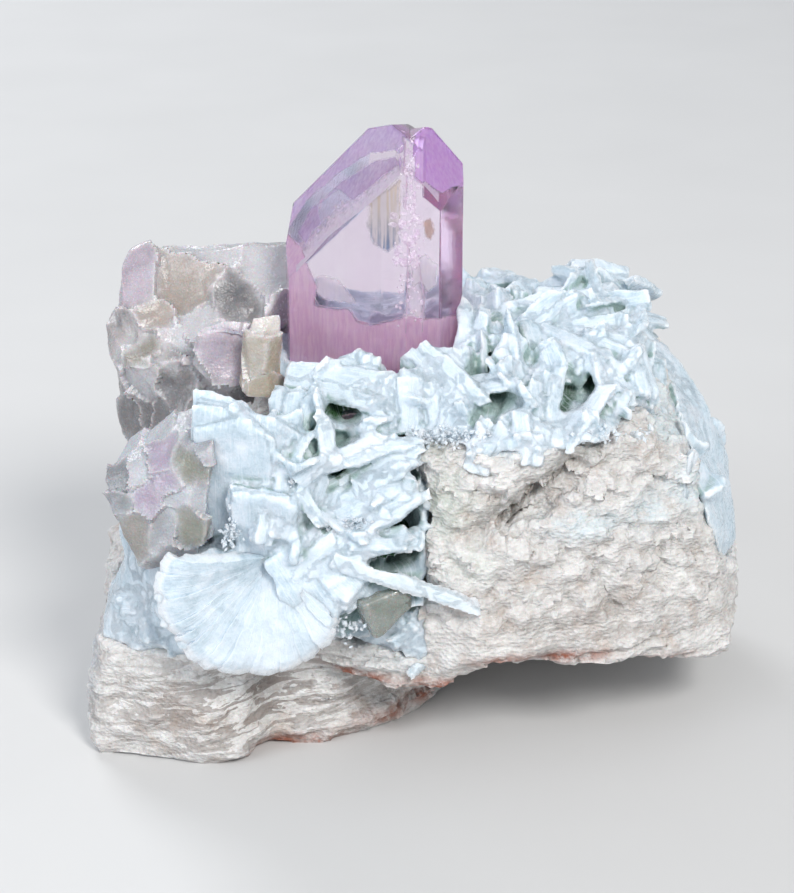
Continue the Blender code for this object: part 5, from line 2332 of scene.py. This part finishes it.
@dataclass
class Studio:
    """The pale floor, the soft lights and the camera at the photograph's angle."""

    target: Point = (-2.6, -0.6, 49.7)
    elevation: float = 22.0
    distance: float = 460.0
    lens: float = 99.98
    floor_width: float = 6000.0
    finish: FloorFinish = field(default_factory=FloorFinish)

    def floor(self) -> None:
        """Lays the floor."""
        deselect_all()
        bpy.ops.mesh.primitive_plane_add(size=self.floor_width * MM, location=(0, 0, -0.02 * MM))
        floor = bpy.context.active_object
        floor.name = "studio_floor"
        floor.data.materials.append(self.finish.make())

    def light(self, name: str, place: Point, size: float, watts: float, colour: Colour) -> None:
        """Hangs one soft light that looks at the specimen.

        Args:
            name: The light's name.
            place: Where it hangs, in millimetres.
            size: How wide it is.
            watts: Its power.
            colour: Its colour.
        """
        lamp = bpy.data.lights.new(name, "AREA")
        lamp.shape = "DISK"
        lamp.size = size * MM
        lamp.energy = watts
        lamp.color = colour
        holder = bpy.data.objects.new(name, lamp)
        bpy.context.scene.collection.objects.link(holder)
        holder.location = Vector(place) * MM
        away = Vector(place) - Vector(self.target)
        holder.rotation_euler = away.to_track_quat("Z", "Y").to_euler()

    def camera(self) -> None:
        """Stands the camera at the photograph's viewing angle."""
        data = bpy.data.cameras.new("camera")
        data.lens = self.lens
        data.sensor_width = 36.0
        data.clip_end = 20.0
        camera = bpy.data.objects.new("camera", data)
        bpy.context.scene.collection.objects.link(camera)
        tilt = math.radians(self.elevation)
        back = Vector((0.0, -math.cos(tilt), math.sin(tilt)))
        camera.location = (Vector(self.target) + back * self.distance) * MM
        camera.rotation_euler = back.to_track_quat("Z", "Y").to_euler()
        bpy.context.scene.camera = camera

    def world(self) -> None:
        """Fills the studio with even pale light."""
        world = bpy.data.worlds.new("studio_air")
        world.use_nodes = True
        background = world.node_tree.nodes["Background"]
        background.inputs["Color"].default_value = (0.93, 0.96, 1.0, 1.0)
        background.inputs["Strength"].default_value = 0.55
        bpy.context.scene.world = world
        bpy.context.scene.view_settings.view_transform = "Standard"

    def build(self) -> None:
        """Sets up the whole studio."""
        self.floor()
        self.world()
        self.light("key", (420, -900, 900), 420, 13.0, (1.0, 0.98, 0.95))
        self.light("fill", (-900, -700, 500), 700, 6.0, (0.9, 0.94, 1.0))
        self.light("rim", (-500, 900, 800), 500, 6.0, (0.95, 0.97, 1.0))
        self.camera()


def main() -> None:
    """Builds the pieces in order."""
    logging.basicConfig(level=logging.INFO, format="%(name)s: %(message)s")
    Studio().build()
    shelter = Shelter(12, 9.0)
    AlbiteRock().build(shelter)
    BladedCrust().build(shelter)
    Kunzite().build()
    BrokenCrystal(
        "smoky_quartz", "quartz_block", Slot.QUARTZ,
        QuartzFinish("smoky_quartz", (0.48, 0.455, 0.46), (0.12, 0.12, 0.13), (0.66, 0.66, 0.70),
                     (0.26, 0.24, 0.17), (0.56, 0.48, 0.58), tan=(0.46, 0.39, 0.34)),
        [
            Break((-51.6, 5.8, 79.5), "lilac", 0.4), Break((-41.0, 5.9, 79.5), "tan", 1.2, 2.0),
            Break((-32.5, 5.1, 78.5), "smoke", 0.9), Break((-27.0, 8.1, 81.0), "frost", 0.5, 0.5),
            Break((-47.0, 3.0, 75.0), "tan", 0.9), Break((-38.5, 1.0, 73.6), "frost", 0.5, 0.6),
            Break((-42.6, -0.5, 71.6), "frost", 0.5), Break((-33.3, -9.7, 71.0), "lilac", 0.7, 1.0),
            Break((-36.5, -3.0, 75.0), "lilac", 0.4), Break((-48.4, -2.5, 67.5), "stain_and_shade", 0.6, -0.8),
            Break((-43.8, -3.5, 67.4), "", 0.6), Break((-47.5, -4.0, 63.2), "frost", 0.4),
            Break((-49.4, -3.4, 57.8), "smoke", 0.5, -0.8), Break((-41.9, -6.1, 63.6), "smoke", 0.9, 1.2),
            Break((-36.8, -7.2, 60.2), "smoke", 0.6), Break((-37.4, -7.0, 66.4), "frost", 0.4),
            Break((-44.5, -5.6, 57.4), "smoke", 0.5), Break((-53.8, 2.0, 71.6), "", 0.6),
            Break((-54.4, 2.6, 62.6), "smoke", 0.6), Break((-53.0, 0.0, 56.0), "smoke", 0.4),
        ],
        smoky=[Spot((-45.0, -4.0, 60.0), (16.0, 14.0, 9.0), 1.2)],
    ).build(shelter)
    BrokenCrystal(
        "feldspar_crystal", "feldspar_block", Slot.FELDSPAR,
        QuartzFinish("feldspar", (0.52, 0.47, 0.40), (0.42, 0.36, 0.28), (0.76, 0.73, 0.72),
                     (0.34, 0.24, 0.13), (0.60, 0.50, 0.52), 0.15, (0.50, 0.43, 0.33)),
        [
            Break((-26.0, -13.0, 79.4), "frost", 0.2), Break((-28.5, -15.5, 73.0), "", 0.25, 1.0),
            Break((-24.5, -14.8, 72.0), "tan", 0.25, 1.0), Break((-25.6, -15.0, 67.2), "smoke", 0.2),
        ],
        voxel=0.32, spread=6.0, fill=6, wander=1.0,
    ).build(shelter)
    BrokenCrystal(
        "broken_spodumene", "spodumene_block", Slot.SPODUMENE,
        QuartzFinish("spodumene", (0.44, 0.45, 0.48), (0.27, 0.28, 0.30), (0.66, 0.68, 0.73),
                     (0.27, 0.27, 0.19), (0.50, 0.40, 0.54), 0.3, (0.36, 0.33, 0.29)),
        [
            Break((-50.6, -22.0, 58.8), "frost", 0.3), Break((-44.5, -24.0, 62.6), "frost", 0.3),
            Break((-38.4, -26.4, 65.8), "frost", 0.3), Break((-43.6, -30.4, 60.2), "lilac", 0.6, 0.4),
            Break((-38.6, -33.0, 59.4), "stain_and_shade", 0.7, 0.6), Break((-36.0, -32.6, 63.4), "", 0.4),
            Break((-51.2, -27.4, 56.4), "smoke", 0.5), Break((-48.0, -29.6, 57.6), "frost", 0.4, -0.4),
            Break((-46.4, -32.0, 52.2), "lilac", 0.6, 0.6), Break((-42.4, -33.0, 56.0), "lilac", 0.4, -0.4),
            Break((-40.4, -34.2, 53.4), "frost", 0.3, -0.6), Break((-39.4, -35.0, 50.4), "stain_and_shade", 0.5),
            Break((-50.4, -30.6, 51.4), "smoke", 0.5), Break((-48.4, -32.4, 47.4), "tan", 0.5),
            Break((-43.6, -33.4, 48.2), "", 0.5), Break((-36.4, -34.4, 54.6), "frost", 0.3, -0.6),
        ],
        voxel=0.42, spread=7.0, fill=10, wander=1.8,
    ).build(shelter)


if __name__ == "__main__":
    main()
